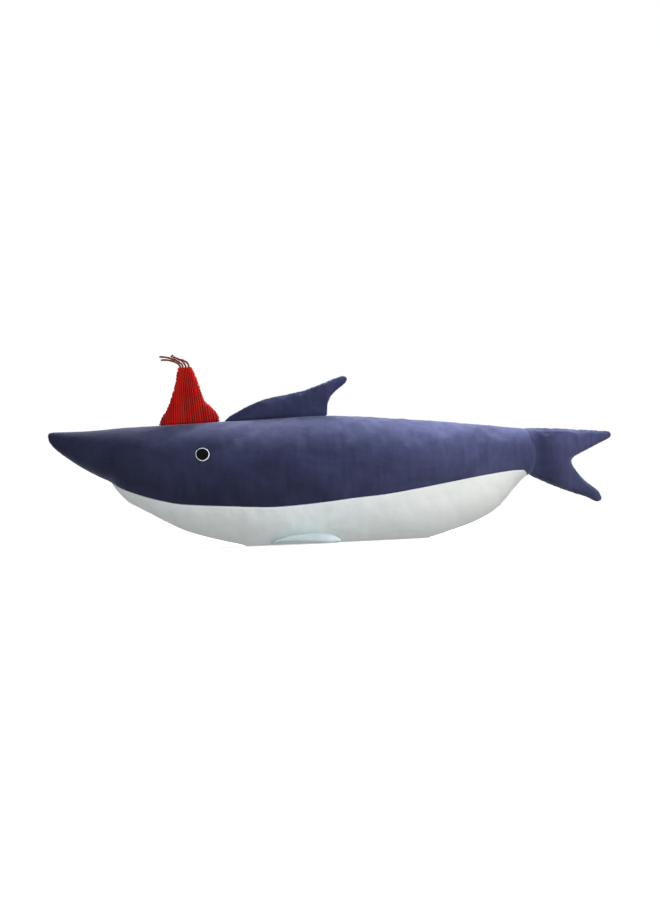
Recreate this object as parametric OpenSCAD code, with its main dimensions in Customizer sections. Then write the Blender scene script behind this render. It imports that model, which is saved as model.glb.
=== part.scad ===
// Stuffed shark toy with a knitted hat, lying on the flat of its belly.
// The toy is drawn level, nose towards -X, and then set down on its belly:
// rest() turns it nose-up by rest_tilt so that the flat of the belly is z = 0.

/* [Body] */
// Length of the body from the nose tip to the tail seam
body_length = 684; // [560:4:800]
// Height of the body from the lowest curve of the belly to the ridge
body_height = 182; // [150:2:210]
// Width of the body at its widest
body_width = 168; // [140:2:200]
// Nose-up angle at which the belly lies flat
rest_tilt = 2.7; // [2:0.1:3.4]

/* [Fabric] */
// Thickness of the velour skin with its backing
fabric_t = 2.5; // [1.5:0.5:3]
// Thickness of the lighter fabric of the pectoral fins
fin_fabric_t = 2; // [1:0.5:2.5]
// Room between a fin's skin and its filling
skin_gap = 1; // [0.8:0.1:1.4]

/* [Tail] */
// Half thickness factor of the tail fin
tail_plump = 1; // [0.8:0.05:1.1]

/* [Dorsal fin] */
// Height factor of the dorsal fin
dorsal_rise = 1; // [0.8:0.05:1.3]
// Half thickness factor of the dorsal fin
dorsal_plump = 1; // [0.8:0.05:1.1]

/* [Pectoral fins] */
// Distance from the centre line to the fin tip
pectoral_reach = 119.5; // [105:0.5:135]
// Thickness of a pectoral fin where it is fullest
pectoral_t = 15; // [12:0.5:16]

/* [Eyes] */
// Diameter of the white felt disc
eye_outer_d = 20.2; // [16:0.2:24]
// Diameter of the black felt disc
eye_inner_d = 15.6; // [12:0.2:15.8]
// Thickness of each felt disc
felt_t = 1.2; // [0.8:0.1:2]

/* [Hat] */
// Height of the knitted hat above the ridge
hat_height = 79; // [60:1:100]
// Half thickness factor of the flattened hat
hat_plump = 1; // [0.8:0.05:1.05]
// Diameter of each strand of the tuft
strand_d = 2.4; // [1.6:0.2:3]

/* [Hidden] */

navy = [0.21, 0.22, 0.36];
pale = [0.78, 0.81, 0.80];
fin_pale = [0.76, 0.83, 0.85];
stuffing = [0.95, 0.95, 0.92];
knit_red = [0.65, 0.08, 0.06];
strand_brown = [0.34, 0.13, 0.07];

sx = body_length / 684;
sy = body_width / 168;
sz = body_height / 182;
half_gap = 0.1;

// where the belly starts to lie flat, and where the toy's middle then is
flat_from = -108;
middle = 115.9;

// body sections: x, ridge height, belly height, half width
BODY = [
  [-394, 153.5, 152.5, 0.5], [-393, 156.5, 147.5, 4], [-390.5, 158.2, 143, 6.5],
  [-386, 158.8, 137.5, 9], [-378, 159.1, 130.5, 12.5], [-365, 159.4, 121.2, 18],
  [-345, 160.2, 108.5, 26], [-320, 162, 95.5, 34.5], [-304.5, 163.6, 88.3, 39],
  [-301, 164, 84.5, 40], [-296, 164.5, 78, 42], [-281, 165.6, 62.5, 47.5],
  [-265, 166.4, 53.5, 53], [-248, 167.4, 44, 58.5], [-225, 169.2, 33, 65],
  [-200, 171, 22, 70.5], [-175, 172.5, 14.5, 75], [-150, 173.9, 8.5, 78.5],
  [-125, 175.1, 2.5, 81.5], [-108, 176, -1.5, 83], [-80, 177.8, -3.5, 84],
  [-40, 180.7, -4, 84], [0, 182.3, -1.5, 84], [40, 181.3, 2, 82.5],
  [80, 179, 5.5, 79], [115, 176.8, 9, 74.5], [137, 175.5, 11.5, 70.5],
  [150, 174.5, 15, 68], [178, 172.5, 25, 61], [195, 171, 31.5, 56.5],
  [213, 169.6, 39.5, 51], [234, 167.8, 53, 44.5], [245, 166.8, 64.5, 41],
  [256, 165.9, 78, 37.5], [266, 165, 89, 34], [276, 163.5, 98.5, 29.5],
  [283, 159, 102.5, 24], [287.5, 150, 108, 18], [290, 138, 118, 9],
  [290.6, 130, 129, 0.5]
];

// seam between the navy sides and the pale belly: x, height
SEAM = [
  [-304.5, 88.8], [-300, 85.6], [-290, 80], [-274, 73.8], [-241, 64.3],
  [-200, 57.2], [-144, 55], [-84, 53.8], [-46, 56.3], [0, 61.6], [30, 66],
  [76, 71.5], [125, 80.5], [175, 90.5], [222, 99.8], [262, 105.3],
  [270, 105.5], [275, 102.5], [277, 99.8]
];
belly_from = 8;  // first and last of the sections below that the belly reaches
belly_to = 33;

// where the skins are sampled along the body
XS = [
  -394, -393, -390.5, -386, -378, -365, -345, -322, -304.5, -300, -292, -280,
  -262, -240, -215, -185, -150, -115, -80, -45, -10, 25, 60, 95, 130, 155, 180,
  205, 225, 240, 252, 262, 270, 277, 283, 287.5, 290, 290.6
];
// and the filling, which needs fewer sections
XF = [
  -388, -382, -372, -355, -330, -304.5, -290, -265, -235, -195, -150, -105,
  -60, -15, 30, 75, 120, 160, 195, 225, 244, 257, 266
];

// tail fin, across each lobe: front x, z, rear x, z, half thickness
TAIL = [
  [393, 159.5, 395.5, 155.5, 1.5], [389, 161, 391.5, 151.5, 4],
  [378, 161.8, 378, 144, 6.5], [362, 162.5, 363, 135.5, 9],
  [342, 163.5, 350, 129.5, 11], [320, 164.5, 343.5, 125.5, 13.5],
  [300, 165, 341, 122.5, 15.5], [287.5, 163, 340.2, 120.8, 16],
  [290.8, 152, 340, 119.8, 16.5], [293, 138, 340, 119, 16.5],
  [293.2, 126, 340, 118, 16.5], [291.6, 114, 340.3, 116.5, 16],
  [287.5, 104, 341, 114.5, 15.5], [289, 97, 342, 112, 15],
  [303, 89.5, 345, 107.5, 14], [322, 81.5, 350.5, 100.5, 12],
  [343, 73.8, 359, 91.5, 10], [360, 69, 369, 84, 8],
  [369, 64, 377.5, 76.5, 6], [375.5, 61.8, 381.5, 69, 4],
  [379, 63, 381, 65.5, 1.5]
];

// dorsal fin: rear/base x, height above the ridge, front x, height, half thickness
DORSAL = [
  [-146, 0.8, -145, 2.5, 1.2], [-139, 0.6, -139, 7.5, 3],
  [-130, 0.6, -130, 12.5, 5], [-112, 0.6, -112, 21.5, 7.5],
  [-84, 0.6, -86, 30, 9.5], [-56, 0.6, -62, 33, 10.5],
  [-30, 0.6, -38, 37, 11], [-12, 0.6, -20, 42, 11],
  [-3, 3, -8, 46.5, 10.5], [-2, 14, 0, 50, 9.5], [1.5, 25, 6, 52.5, 8],
  [9.5, 35, 13.5, 55, 6.5], [18, 42, 19, 56, 5], [23, 47.5, 23, 55, 3],
  [25, 50.5, 24.8, 52.5, 1.2]
];

// pectoral fin as it lies, root to tip: share of the reach, front x, rear x,
// share of the thickness
pectoral_root = 58;
pectoral_lift = 0.6;
PECTORAL = [
  [0, -86, -16, 0.55], [0.1, -82, -11, 0.75], [0.26, -72, -6, 0.95],
  [0.46, -58, -1, 1], [0.65, -42, 3.5, 0.93], [0.81, -27, 7, 0.77],
  [0.92, -14, 9, 0.53], [0.98, -4, 8.5, 0.28], [1, 0, 6, 0.14]
];

// hat: height share, left x, right x, half thickness
HAT = [
  [0.007, -229, -162, 2.5], [0.03, -235, -156, 6], [0.075, -236.5, -154.5, 9.5],
  [0.125, -235, -155.5, 11.6], [0.19, -231, -159, 12.8], [0.28, -227, -167, 13],
  [0.37, -224, -174, 12.8], [0.5, -219.5, -179, 12], [0.66, -216, -182.8, 10.5],
  [0.83, -213.5, -189, 8.5], [0.95, -211.5, -193, 7], [1, -210.5, -194.5, 6]
];

// eye centre: x and angle round the section from the ridge
eye_x = -173;
eye_angle = 66;

// routes of the four strands, from the top of the hat: x, y, z
STRANDS = [
  [[-205, -1, 250.5], [-206.5, -1, 254.5], [-212, -1.5, 258.6], [-220, -2, 261.8],
   [-229, -2, 264.2], [-238, -2, 264.7]],
  [[-208.6, 1.5, 250], [-210.4, 1.5, 254], [-215.6, 1.5, 257.4], [-224, 2, 260],
   [-230, 2, 260.5], [-236, 2, 260.4]],
  [[-201, 2, 251], [-203.4, 2.5, 256], [-207.2, 4, 260], [-213, 5, 262.4],
   [-217, 5, 264.8], [-221, 5, 267.8]],
  [[-196.6, -1, 251.2], [-198, -2, 255.2], [-201.6, -4, 258.6], [-208, -5, 260.8],
   [-215, -5.5, 263], [-222, -5.5, 265.4]]
];

// ---------- curves through a table (monotone cubic, so no overshoot) ----------
function chord(t, i, c) = (t[i+1][c] - t[i][c]) / (t[i+1][0] - t[i][0]);
function slope(t, i, c) =
  i <= 0 ? chord(t, 0, c) :
  i >= len(t) - 1 ? chord(t, len(t) - 2, c) :
  let (a = chord(t, i - 1, c), b = chord(t, i, c)) a * b <= 0 ? 0 : 2 * a * b / (a + b);
function place_in(t, x) = let (k = [for (i = [0:len(t)-2]) if (x <= t[i+1][0]) i])
  len(k) == 0 ? len(t) - 2 : k[0];
function curve(t, x, c) =
  let (i = place_in(t, x), h = t[i+1][0] - t[i][0], u = (x - t[i][0]) / h, v = 1 - u)
  t[i][c] * (1 + 2*u) * v*v + slope(t, i, c) * h * u * v*v
  + t[i+1][c] * u*u * (3 - 2*u) - slope(t, i+1, c) * h * u*u * v;

function ridge(x) = curve(BODY, x, 1);
function ground(x) = (x - flat_from) * sx * tan(rest_tilt) / sz;

// ---------- body sections ----------
// Point of the skin at x, turned by angle a from the ridge (180 is the belly),
// drawn in by d.
function skin(x, a, d) =
  let (top = ridge(x) * sz, low = curve(BODY, x, 2) * sz, w = curve(BODY, x, 3) * sy,
       mid = (top + low) / 2, h = max((top - low) / 2 - d, 0.4), hw = max(w - d, 0.4),
       c = cos(a), s = sin(a), n = c > 0 ? 2.05 : 2.15,
       y = sign(s) * hw * pow(abs(s), 2 / n),
       z = mid + sign(c) * h * pow(abs(c), 2 / n))
  [x * sx, y, max(z, (ground(x) * sz) + d)];

// angle at which the seam lies at x
function seam_angle(x) =
  let (top = ridge(x), low = curve(BODY, x, 2), s = (curve(SEAM, x, 1) - (top + low) / 2) / ((top - low) / 2))
  acos(-pow(min(abs(s), 1), 2.15 / 2));

// x drawn in at both ends, for inner surfaces
function drawn_in(x, d) = -52 + (x + 52) * (1 - 2 * d / 342);

// a point kept clear of the middle plane
function off_middle(p, side) = [p[0], side * max(abs(p[1]), half_gap), p[2]];

// ---------- closed solids from grids of points ----------
// Thick sheet: outer and inner grids of the same size.
module sheet(outer, inner, turn = false) {
  r = len(outer); c = len(outer[0]); n = r * c;
  pts = [for (g = [outer, inner], i = [0:r-1], j = [0:c-1]) g[i][j]];
  f = concat(
    [for (i = [0:r-2], j = [0:c-2]) each quad(i*c+j, i*c+j+1, (i+1)*c+j+1, (i+1)*c+j)],
    [for (i = [0:r-2], j = [0:c-2]) each quad(n+i*c+j, n+(i+1)*c+j, n+(i+1)*c+j+1, n+i*c+j+1)],
    [for (j = [0:c-2]) each quad(j, n+j, n+j+1, j+1)],
    [for (j = [0:c-2]) each quad((r-1)*c+j, (r-1)*c+j+1, n+(r-1)*c+j+1, n+(r-1)*c+j)],
    [for (i = [0:r-2]) each quad(i*c, (i+1)*c, n+(i+1)*c, n+i*c)],
    [for (i = [0:r-2]) each quad(i*c+c-1, n+i*c+c-1, n+(i+1)*c+c-1, (i+1)*c+c-1)]);
  polyhedron(pts, turn ? [for (t = f) [t[2], t[1], t[0]]] : f);
}
function quad(a, b, c, d) = [[a, b, c], [a, c, d]];

// Closed tube of rings, with flat ends.
module tube(rings, turn = false) {
  r = len(rings); c = len(rings[0]);
  pts = [for (i = [0:r-1], j = [0:c-1]) rings[i][j]];
  f = concat(
    [for (i = [0:r-2], j = [0:c-1]) each quad(i*c+j, i*c+(j+1)%c, (i+1)*c+(j+1)%c, (i+1)*c+j)],
    [for (j = [1:c-2]) [0, j+1, j]],
    [for (j = [1:c-2]) [(r-1)*c, (r-1)*c+j, (r-1)*c+j+1]]);
  polyhedron(pts, turn ? [for (t = f) [t[2], t[1], t[0]]] : f);
}

// set the level drawing down on its belly
module rest() {
  translate([-middle * sx, 0, 0]) rotate([0, rest_tilt, 0]) translate([-flat_from * sx, 0, 0]) children();
}

// ---------- body ----------
side_points = 10;
belly_points = 11;

module back_panel(side) {
  grid = [for (d = [0, fabric_t]) [for (i = [0:len(XS)-1])
    let (x = XS[i], end = i < belly_from || i > belly_to ? 180 : seam_angle(x) - 0.25)
    [for (j = [0:side_points-1]) off_middle(skin(drawn_in(x, d), j * end / (side_points - 1), d), side)]]];
  rest() sheet(grid[0], grid[1], turn = side < 0);
}

module back_panel_left() { color(navy) back_panel(-1); }
module back_panel_right() { color(navy) back_panel(1); }

module belly_panel() {
  grid = [for (d = [0, fabric_t]) [for (i = [belly_from:belly_to])
    let (x = XS[i], a = seam_angle(x) + 0.25)
    [for (j = [0:belly_points-1]) skin(drawn_in(x, d), a + j * (360 - 2 * a) / (belly_points - 1), d)]]];
  color(pale) rest() sheet(grid[0], grid[1]);
}

module body_filling() {
  d = fabric_t + 1.9 * skin_gap;
  color(stuffing) rest() tube([for (x = XF) [for (j = [0:19]) skin(drawn_in(x, d), j * 18, d)]]);
}

// ---------- fins and hat ----------
// Section i of a fin table, drawn in by d: points from front to rear on one side.
function row(t, q, c) = let (i = min(floor(q), len(t) - 2), u = q - i) t[i][c] * (1 - u) + t[i+1][c] * u;
function fin_line(t, q, d, plump) =
  let (f = [row(t, q, 0), row(t, q, 1)], r = [row(t, q, 2), row(t, q, 3)],
       l = norm(r - f), m = (f + r) / 2, k = max(l - 2 * d, 0.8) / l)
  [m + (f - m) * k, m + (r - m) * k, max(row(t, q, 4) * plump - d, 0.4)];
function fin_point(s, a, side) =
  let (p = (s[0] + s[1]) / 2 + (s[0] - s[1]) / 2 * cos(a))
  [p[0], side * (half_gap + s[2] * sin(a)), p[1]];
function fin_grid(t, d, side, plump, n) =
  let (last = len(t) - 1, e = d > 0 ? 0.7 : 0)
  [for (i = [0:last]) let (s = fin_line(t, e + (last - 2*e) * i / last, d, plump))
    [for (j = [0:n-1]) fin_point(s, j * 180 / (n - 1), side)]];

module fin_panel(t, side, plump, n, turn = false) {
  sheet(fin_grid(t, 0, side, plump, n), fin_grid(t, fabric_t, side, plump, n), turn = turn ? side > 0 : side < 0);
}
module fin_filling(t, plump, n, turn = false) {
  d = fabric_t + skin_gap;
  last = len(t) - 1;
  tube([for (i = [0:last]) let (s = fin_line(t, 0.75 + (last - 1.5) * i / last, d, plump))
    concat([for (j = [0:n-1]) fin_point(s, j * 180 / (n - 1), 1)],
           [for (j = [n-1:-1:0]) fin_point(s, j * 180 / (n - 1), -1)])], turn = turn);
}

// the tables in millimetres, for the sizes set at the top
tail = [for (t = TAIL) [t[0] * sx, t[1] * sz, t[2] * sx, t[3] * sz, t[4]]];
dorsal = [for (t = DORSAL) [t[0] * sx, ridge(t[0]) * sz + t[1] * dorsal_rise,
                            t[2] * sx, ridge(t[2]) * sz + t[3] * dorsal_rise, t[4]]];
hat = [for (t = HAT) [t[1] * sx, ridge(t[1]) * sz + t[0] * hat_height + 0.25,
                      t[2] * sx, ridge(t[2]) * sz + t[0] * hat_height + 0.25, t[3]]];

module tail_panel_left() { color(navy) rest() fin_panel(tail, -1, tail_plump, 7, true); }
module tail_panel_right() { color(navy) rest() fin_panel(tail, 1, tail_plump, 7, true); }
module tail_filling() { color(stuffing) rest() fin_filling(tail, tail_plump, 6, true); }

module dorsal_panel_left() { color(navy) rest() fin_panel(dorsal, -1, dorsal_plump, 7, true); }
module dorsal_panel_right() { color(navy) rest() fin_panel(dorsal, 1, dorsal_plump, 7, true); }
module dorsal_filling() { color(stuffing) rest() fin_filling(dorsal, dorsal_plump, 6, true); }

module hat_panel_left() { color(knit_red) rest() fin_panel(hat, -1, hat_plump, 9); }
module hat_panel_right() { color(knit_red) rest() fin_panel(hat, 1, hat_plump, 9); }
module hat_filling() { color(stuffing) rest() fin_filling(hat, hat_plump, 7); }

// Pectoral fin: it lies on the same surface as the belly, so it is drawn at rest.
// face is 1 for the upper panel and -1 for the lower one.
under = 0.35;
function pectoral_line(q, d) =
  let (reach = pectoral_root + row(PECTORAL, q, 0) * (pectoral_reach - pectoral_root),
       f = row(PECTORAL, q, 1) * sx, r = row(PECTORAL, q, 2) * sx, t = row(PECTORAL, q, 3) * pectoral_t,
       m = (f + r) / 2, k = max(r - f - 2 * d, 0.8) / (r - f))
  [m + (f - m) * k, m + (r - m) * k, reach, t];
function pectoral_point(s, a, side, face, d) =
  let (x = (s[0] + s[1]) / 2 + (s[0] - s[1]) / 2 * cos(a),
       seam_z = pectoral_lift + half_gap + under * s[3],
       h = max((face > 0 ? 1 - under : under) * s[3] - d, 0.15))
  [x, side * s[2], seam_z + face * (half_gap + h * sin(a))];
function pectoral_q(i, d, last) = let (e = d > 0 ? 0.45 : 0) e + (last - 2 * e) * i / last;

module pectoral_panel(side, face) {
  last = len(PECTORAL) - 1;
  grid = [for (d = [0, fin_fabric_t]) [for (i = [0:last])
    let (s = pectoral_line(pectoral_q(i, d, last), d))
    [for (j = [0:7]) pectoral_point(s, j * 180 / 7, side, face, d)]]];
  sheet(grid[0], grid[1], turn = side * face > 0);
}
module pectoral_filling(side) {
  last = len(PECTORAL) - 1;
  d = fin_fabric_t + skin_gap;
  tube([for (i = [0:last]) let (s = pectoral_line(0.55 + (last - 1.3) * i / last, d))
    concat([for (j = [0:5]) pectoral_point(s, j * 36, side, 1, d)],
           [for (j = [5:-1:0]) pectoral_point(s, j * 36, side, -1, d)])], turn = side > 0);
}

module pectoral_left_upper() { color(fin_pale) pectoral_panel(-1, 1); }
module pectoral_left_lower() { color(fin_pale) pectoral_panel(-1, -1); }
module pectoral_left_filling() { color(stuffing) pectoral_filling(-1); }
module pectoral_right_upper() { color(fin_pale) pectoral_panel(1, 1); }
module pectoral_right_lower() { color(fin_pale) pectoral_panel(1, -1); }
module pectoral_right_filling() { color(stuffing) pectoral_filling(1); }

// ---------- eyes ----------
// Put a disc on the skin, flat against it, lift above it.
module on_eye(side, lift) {
  p = skin(eye_x, eye_angle, 0);
  u = skin(eye_x + 4, eye_angle, 0) - skin(eye_x - 4, eye_angle, 0);
  v = skin(eye_x, eye_angle + 3, 0) - skin(eye_x, eye_angle - 3, 0);
  n = cross(v, u) / norm(cross(v, u));
  o = n[1] > 0 ? n : -n;
  rest() translate([p[0], side * p[1], p[2]])
    rotate([0, acos(o[2]), atan2(side * o[1], o[0])]) translate([0, 0, lift]) children();
}
module eye_white(side) { color("white") on_eye(side, 0.15) cylinder(d = eye_outer_d, h = felt_t, $fn = 48); }
module eye_black(side) { color([0.05, 0.05, 0.05]) on_eye(side, 0.2 + felt_t) cylinder(d = eye_inner_d, h = felt_t, $fn = 48); }

module eye_white_left() { eye_white(-1); }
module eye_black_left() { eye_black(-1); }
module eye_white_right() { eye_white(1); }
module eye_black_right() { eye_black(1); }

// ---------- strands ----------
function bend(p, i, u) =
  let (n = len(p) - 1, a = p[max(i - 1, 0)], b = p[i], c = p[min(i + 1, n)], e = p[min(i + 2, n)])
  b + (c - a) * u / 2 + (2*a - 5*b + 4*c - e) * u*u / 2 + (3*b - a - 3*c + e) * u*u*u / 2;
function route(p, k) = concat([for (i = [0:len(p)-2], j = [0:k-1]) bend(p, i, j / k)], [p[len(p)-1]]);
module strand(p) {
  dz = hat_height - 79 + ridge(-203) * (sz - 1);
  w = [for (q = route(p, 3)) [q[0] * sx, q[1], q[2] + dz]];
  last = len(w) - 1;
  color(strand_brown) rest() tube([for (i = [0:last])
    let (t = w[min(i + 1, last)] - w[max(i - 1, 0)], f = cross(t, [0, 1, 0]), a = f / norm(f),
         g = cross(t, a), b = g / norm(g))
    [for (j = [0:7]) w[i] + strand_d / 2 * (a * cos(j * 45) + b * sin(j * 45))]], turn = true);
}
module hat_strand_1() { strand(STRANDS[0]); }
module hat_strand_2() { strand(STRANDS[1]); }
module hat_strand_3() { strand(STRANDS[2]); }
module hat_strand_4() { strand(STRANDS[3]); }

back_panel_left();
back_panel_right();
belly_panel();
body_filling();
tail_panel_left();
tail_panel_right();
tail_filling();
dorsal_panel_left();
dorsal_panel_right();
dorsal_filling();
pectoral_left_upper();
pectoral_left_lower();
pectoral_left_filling();
pectoral_right_upper();
pectoral_right_lower();
pectoral_right_filling();
eye_white_left();
eye_black_left();
eye_white_right();
eye_black_right();
hat_panel_left();
hat_panel_right();
hat_filling();
hat_strand_1();
hat_strand_2();
hat_strand_3();
hat_strand_4();
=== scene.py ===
# Plush shark with a knitted hat: the visual model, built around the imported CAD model.
import math
import bpy
import numpy as np
from mathutils import Matrix, Vector
from mathutils.kdtree import KDTree


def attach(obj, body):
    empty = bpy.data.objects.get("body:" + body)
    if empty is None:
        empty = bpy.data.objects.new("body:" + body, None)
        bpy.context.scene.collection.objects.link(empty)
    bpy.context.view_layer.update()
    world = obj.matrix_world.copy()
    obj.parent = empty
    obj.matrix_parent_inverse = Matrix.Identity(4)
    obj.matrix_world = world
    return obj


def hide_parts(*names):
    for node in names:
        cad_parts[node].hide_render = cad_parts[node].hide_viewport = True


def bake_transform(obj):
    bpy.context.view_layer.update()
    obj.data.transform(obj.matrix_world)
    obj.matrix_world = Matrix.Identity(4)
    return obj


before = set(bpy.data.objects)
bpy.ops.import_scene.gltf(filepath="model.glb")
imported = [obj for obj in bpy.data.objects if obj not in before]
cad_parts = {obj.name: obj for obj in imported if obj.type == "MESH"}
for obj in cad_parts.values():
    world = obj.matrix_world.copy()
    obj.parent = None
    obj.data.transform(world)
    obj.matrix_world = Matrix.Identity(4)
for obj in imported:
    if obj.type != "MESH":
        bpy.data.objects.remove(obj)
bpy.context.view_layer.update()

# ------------------------------------------------------------------ drawing frame
# The toy is drawn level in millimetres and then set down on its belly, as in part.scad.
TILT = math.radians(2.7)
FLAT_FROM, MIDDLE = -108.0, 115.9
CT, ST = math.cos(TILT), math.sin(TILT)


def rest(p):
    """Level drawing, millimetres -> row frame, metres."""
    p = np.asarray(p, float)
    x = p[..., 0] - FLAT_FROM
    z = p[..., 2]
    return np.stack([x * CT + z * ST - MIDDLE, p[..., 1], z * CT - x * ST], -1) / 1000.0


def unrest(p):
    """Row frame in millimetres -> level drawing."""
    x, z = p[..., 0] + MIDDLE, p[..., 2]
    return np.stack([x * CT - z * ST + FLAT_FROM, p[..., 1], x * ST + z * CT], -1)


mirror = np.array([1.0, -1.0, 1.0])

# ------------------------------------------------------------------ camera
cam_data = bpy.data.cameras.new("camera")
cam_data.lens = 85
cam_data.sensor_width = 36
cam_data.clip_end = 100
cam = bpy.data.objects.new("camera", cam_data)
bpy.context.scene.collection.objects.link(cam)
CAM_AT, CAM_TO = (1.4, -2975.0, 55.0), (1.4, 0.0, 134.2)
eye_at = Vector(rest(CAM_AT).tolist())
eye_to = Vector(rest(CAM_TO).tolist())
look = (eye_to - eye_at).normalized()
side = Vector((CT, 0, -ST))
up = side.cross(look).normalized()
side = look.cross(up).normalized()
m = Matrix((side, up, -look)).transposed().to_4x4()
m.translation = eye_at
cam.matrix_world = m
bpy.context.scene.camera = cam

# ------------------------------------------------------------------ tables (as part.scad)
BODY = np.array([
    [-394, 153.5, 152.5, 0.5], [-393, 156.5, 147.5, 4], [-390.5, 158.2, 143, 6.5],
    [-386, 158.8, 137.5, 9], [-378, 159.1, 130.5, 12.5], [-365, 159.4, 121.2, 18],
    [-345, 160.2, 108.5, 26], [-320, 162, 95.5, 34.5], [-304.5, 163.6, 88.3, 39],
    [-301, 164, 84.5, 40], [-296, 164.5, 78, 42], [-281, 165.6, 62.5, 47.5],
    [-265, 166.4, 53.5, 53], [-248, 167.4, 44, 58.5], [-225, 169.2, 33, 65],
    [-200, 171, 22, 70.5], [-175, 172.5, 14.5, 75], [-150, 173.9, 8.5, 78.5],
    [-125, 175.1, 2.5, 81.5], [-108, 176, -1.5, 83], [-80, 177.8, -3.5, 84],
    [-40, 180.7, -4, 84], [0, 182.3, -1.5, 84], [40, 181.3, 2, 82.5],
    [80, 179, 5.5, 79], [115, 176.8, 9, 74.5], [137, 175.5, 11.5, 70.5],
    [150, 174.5, 15, 68], [178, 172.5, 25, 61], [195, 171, 31.5, 56.5],
    [213, 169.6, 39.5, 51], [234, 167.8, 53, 44.5], [245, 166.8, 64.5, 41],
    [256, 165.9, 78, 37.5], [266, 165, 89, 34], [276, 163.5, 98.5, 29.5],
    [283, 159, 102.5, 24], [287.5, 150, 108, 18], [290, 138, 118, 9],
    [290.6, 130, 129, 0.5]], float)
SEAM = np.array([
    [-304.5, 88.8], [-300, 85.6], [-290, 80], [-274, 73.8], [-241, 64.3],
    [-200, 57.2], [-144, 55], [-84, 53.8], [-46, 56.3], [0, 61.6], [30, 66],
    [76, 71.5], [125, 80.5], [175, 90.5], [222, 99.8], [262, 105.3],
    [270, 105.5], [275, 102.5], [277, 99.8]], float)


def curve(t, x, c, key=0):
    """Monotone cubic through a table, the same rule as part.scad's."""
    x = np.asarray(x, float)
    X, Y = t[:, key], t[:, c]
    h = np.diff(X)
    ch = np.diff(Y) / h
    s = np.empty(len(X))
    s[0], s[-1] = ch[0], ch[-1]
    a, b = ch[:-1], ch[1:]
    with np.errstate(divide="ignore", invalid="ignore"):
        s[1:-1] = np.where(a * b <= 0, 0, 2 * a * b / (a + b))
    i = np.clip(np.searchsorted(X, x, side="left") - 1, 0, len(X) - 2)
    u = (x - X[i]) / h[i]
    v = 1 - u
    return (Y[i] * (1 + 2 * u) * v * v + s[i] * h[i] * u * v * v
            + Y[i + 1] * u * u * (3 - 2 * u) - s[i + 1] * h[i] * u * u * v)


def ridge(x):
    return curve(BODY, x, 1)


def ground(x):
    return (np.asarray(x, float) - FLAT_FROM) * math.tan(TILT)


def section(x):
    top, low, w = curve(BODY, x, 1), curve(BODY, x, 2), curve(BODY, x, 3)
    return (top + low) / 2, (top - low) / 2, w


def skin(x, a):
    """Point of the body's surface at x, turned by a degrees from the ridge (left side, -Y, for a < 180)."""
    x, a = np.broadcast_arrays(np.asarray(x, float), np.asarray(a, float))
    mid, h, w = section(x)
    c, s = np.cos(np.radians(a)), np.sin(np.radians(a))
    n = np.where(c > 0, 2.05, 2.15)
    y = -np.sign(s) * w * np.abs(s) ** (2 / n)
    z = mid + np.sign(c) * h * np.abs(c) ** (2 / n)
    return np.stack([x, y, np.maximum(z, ground(x))], -1)


def seam_angle(x):
    mid, h, _ = section(x)
    s = (curve(SEAM, x, 1) - mid) / h
    return np.degrees(np.arccos(-np.minimum(np.abs(s), 1) ** (2.15 / 2)))


def skin_height(x, y):
    """Height of the back at x, y."""
    mid, h, w = section(x)
    s = np.clip(np.abs(y) / np.maximum(w, 1), 0, 1) ** (2.05 / 2)
    return mid + h * np.sqrt(1 - s * s) ** (2 / 2.05)


# ------------------------------------------------------------------ smooth noise, seeded
def hash3(i, j, k, seed):
    n = (i * 374761393 + j * 668265263 + k * 2147483647 + seed * 1274126177) & 0xFFFFFFFF
    n = ((n ^ (n >> 13)) * 1274126177) & 0xFFFFFFFF
    n = n ^ (n >> 16)
    return (n & 0xFFFF) / 32767.5 - 1.0


def noise(p, size, seed=0):
    """Value noise on points in millimetres, about -1 to 1."""
    q = np.asarray(p, float) / size
    f = np.floor(q).astype(np.int64)
    u = q - f
    u = u * u * (3 - 2 * u)
    out = 0
    for dx in (0, 1):
        for dy in (0, 1):
            for dz in (0, 1):
                w = ((u[..., 0] if dx else 1 - u[..., 0]) * (u[..., 1] if dy else 1 - u[..., 1])
                     * (u[..., 2] if dz else 1 - u[..., 2]))
                out = out + w * hash3(f[..., 0] + dx, f[..., 1] + dy, f[..., 2] + dz, seed)
    return out


# ------------------------------------------------------------------ mesh helpers
def new_object(name, verts, faces, mat, smooth=True):
    me = bpy.data.meshes.new(name)
    me.from_pydata([tuple(v) for v in verts], [], [tuple(int(i) for i in f) for f in faces])
    me.validate(clean_customdata=False)
    if smooth:
        me.shade_smooth()
    ob = bpy.data.objects.new(name, me)
    bpy.context.scene.collection.objects.link(ob)
    if mat:
        me.materials.append(mat)
    return ob


def put_attribute(ob, name, values):
    at = ob.data.attributes.new(name, "FLOAT", "POINT")
    at.data.foreach_set("value", np.asarray(values, np.float32).ravel())


def grid_faces(r, c, off=0, flip=False, wrap=False):
    i, j = np.meshgrid(np.arange(r - 1), np.arange(c if wrap else c - 1), indexing="ij")
    a, b = off + i * c + j, off + i * c + (j + 1) % c
    d, e = off + (i + 1) * c + j, off + (i + 1) * c + (j + 1) % c
    f = np.stack([a, b, e, d], -1).reshape(-1, 4)
    return f[:, ::-1] if flip else f


def grid_normals(g, outward):
    """Unit normals of a grid of points, turned to agree with the vectors in outward."""
    du = np.gradient(g, axis=0)
    dv = np.gradient(g, axis=1)
    n = np.cross(du, dv)
    l = np.linalg.norm(n, axis=-1, keepdims=True)
    bad = l[..., 0] < 1e-9
    n = n / np.maximum(l, 1e-12)
    sign = np.sign((n * outward).sum(-1))
    good = sign[~bad]
    n = n * (1 if good.sum() >= 0 else -1)
    if bad.any():
        o = outward / np.maximum(np.linalg.norm(outward, axis=-1, keepdims=True), 1e-9)
        n[bad] = o[bad]
    return n


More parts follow.
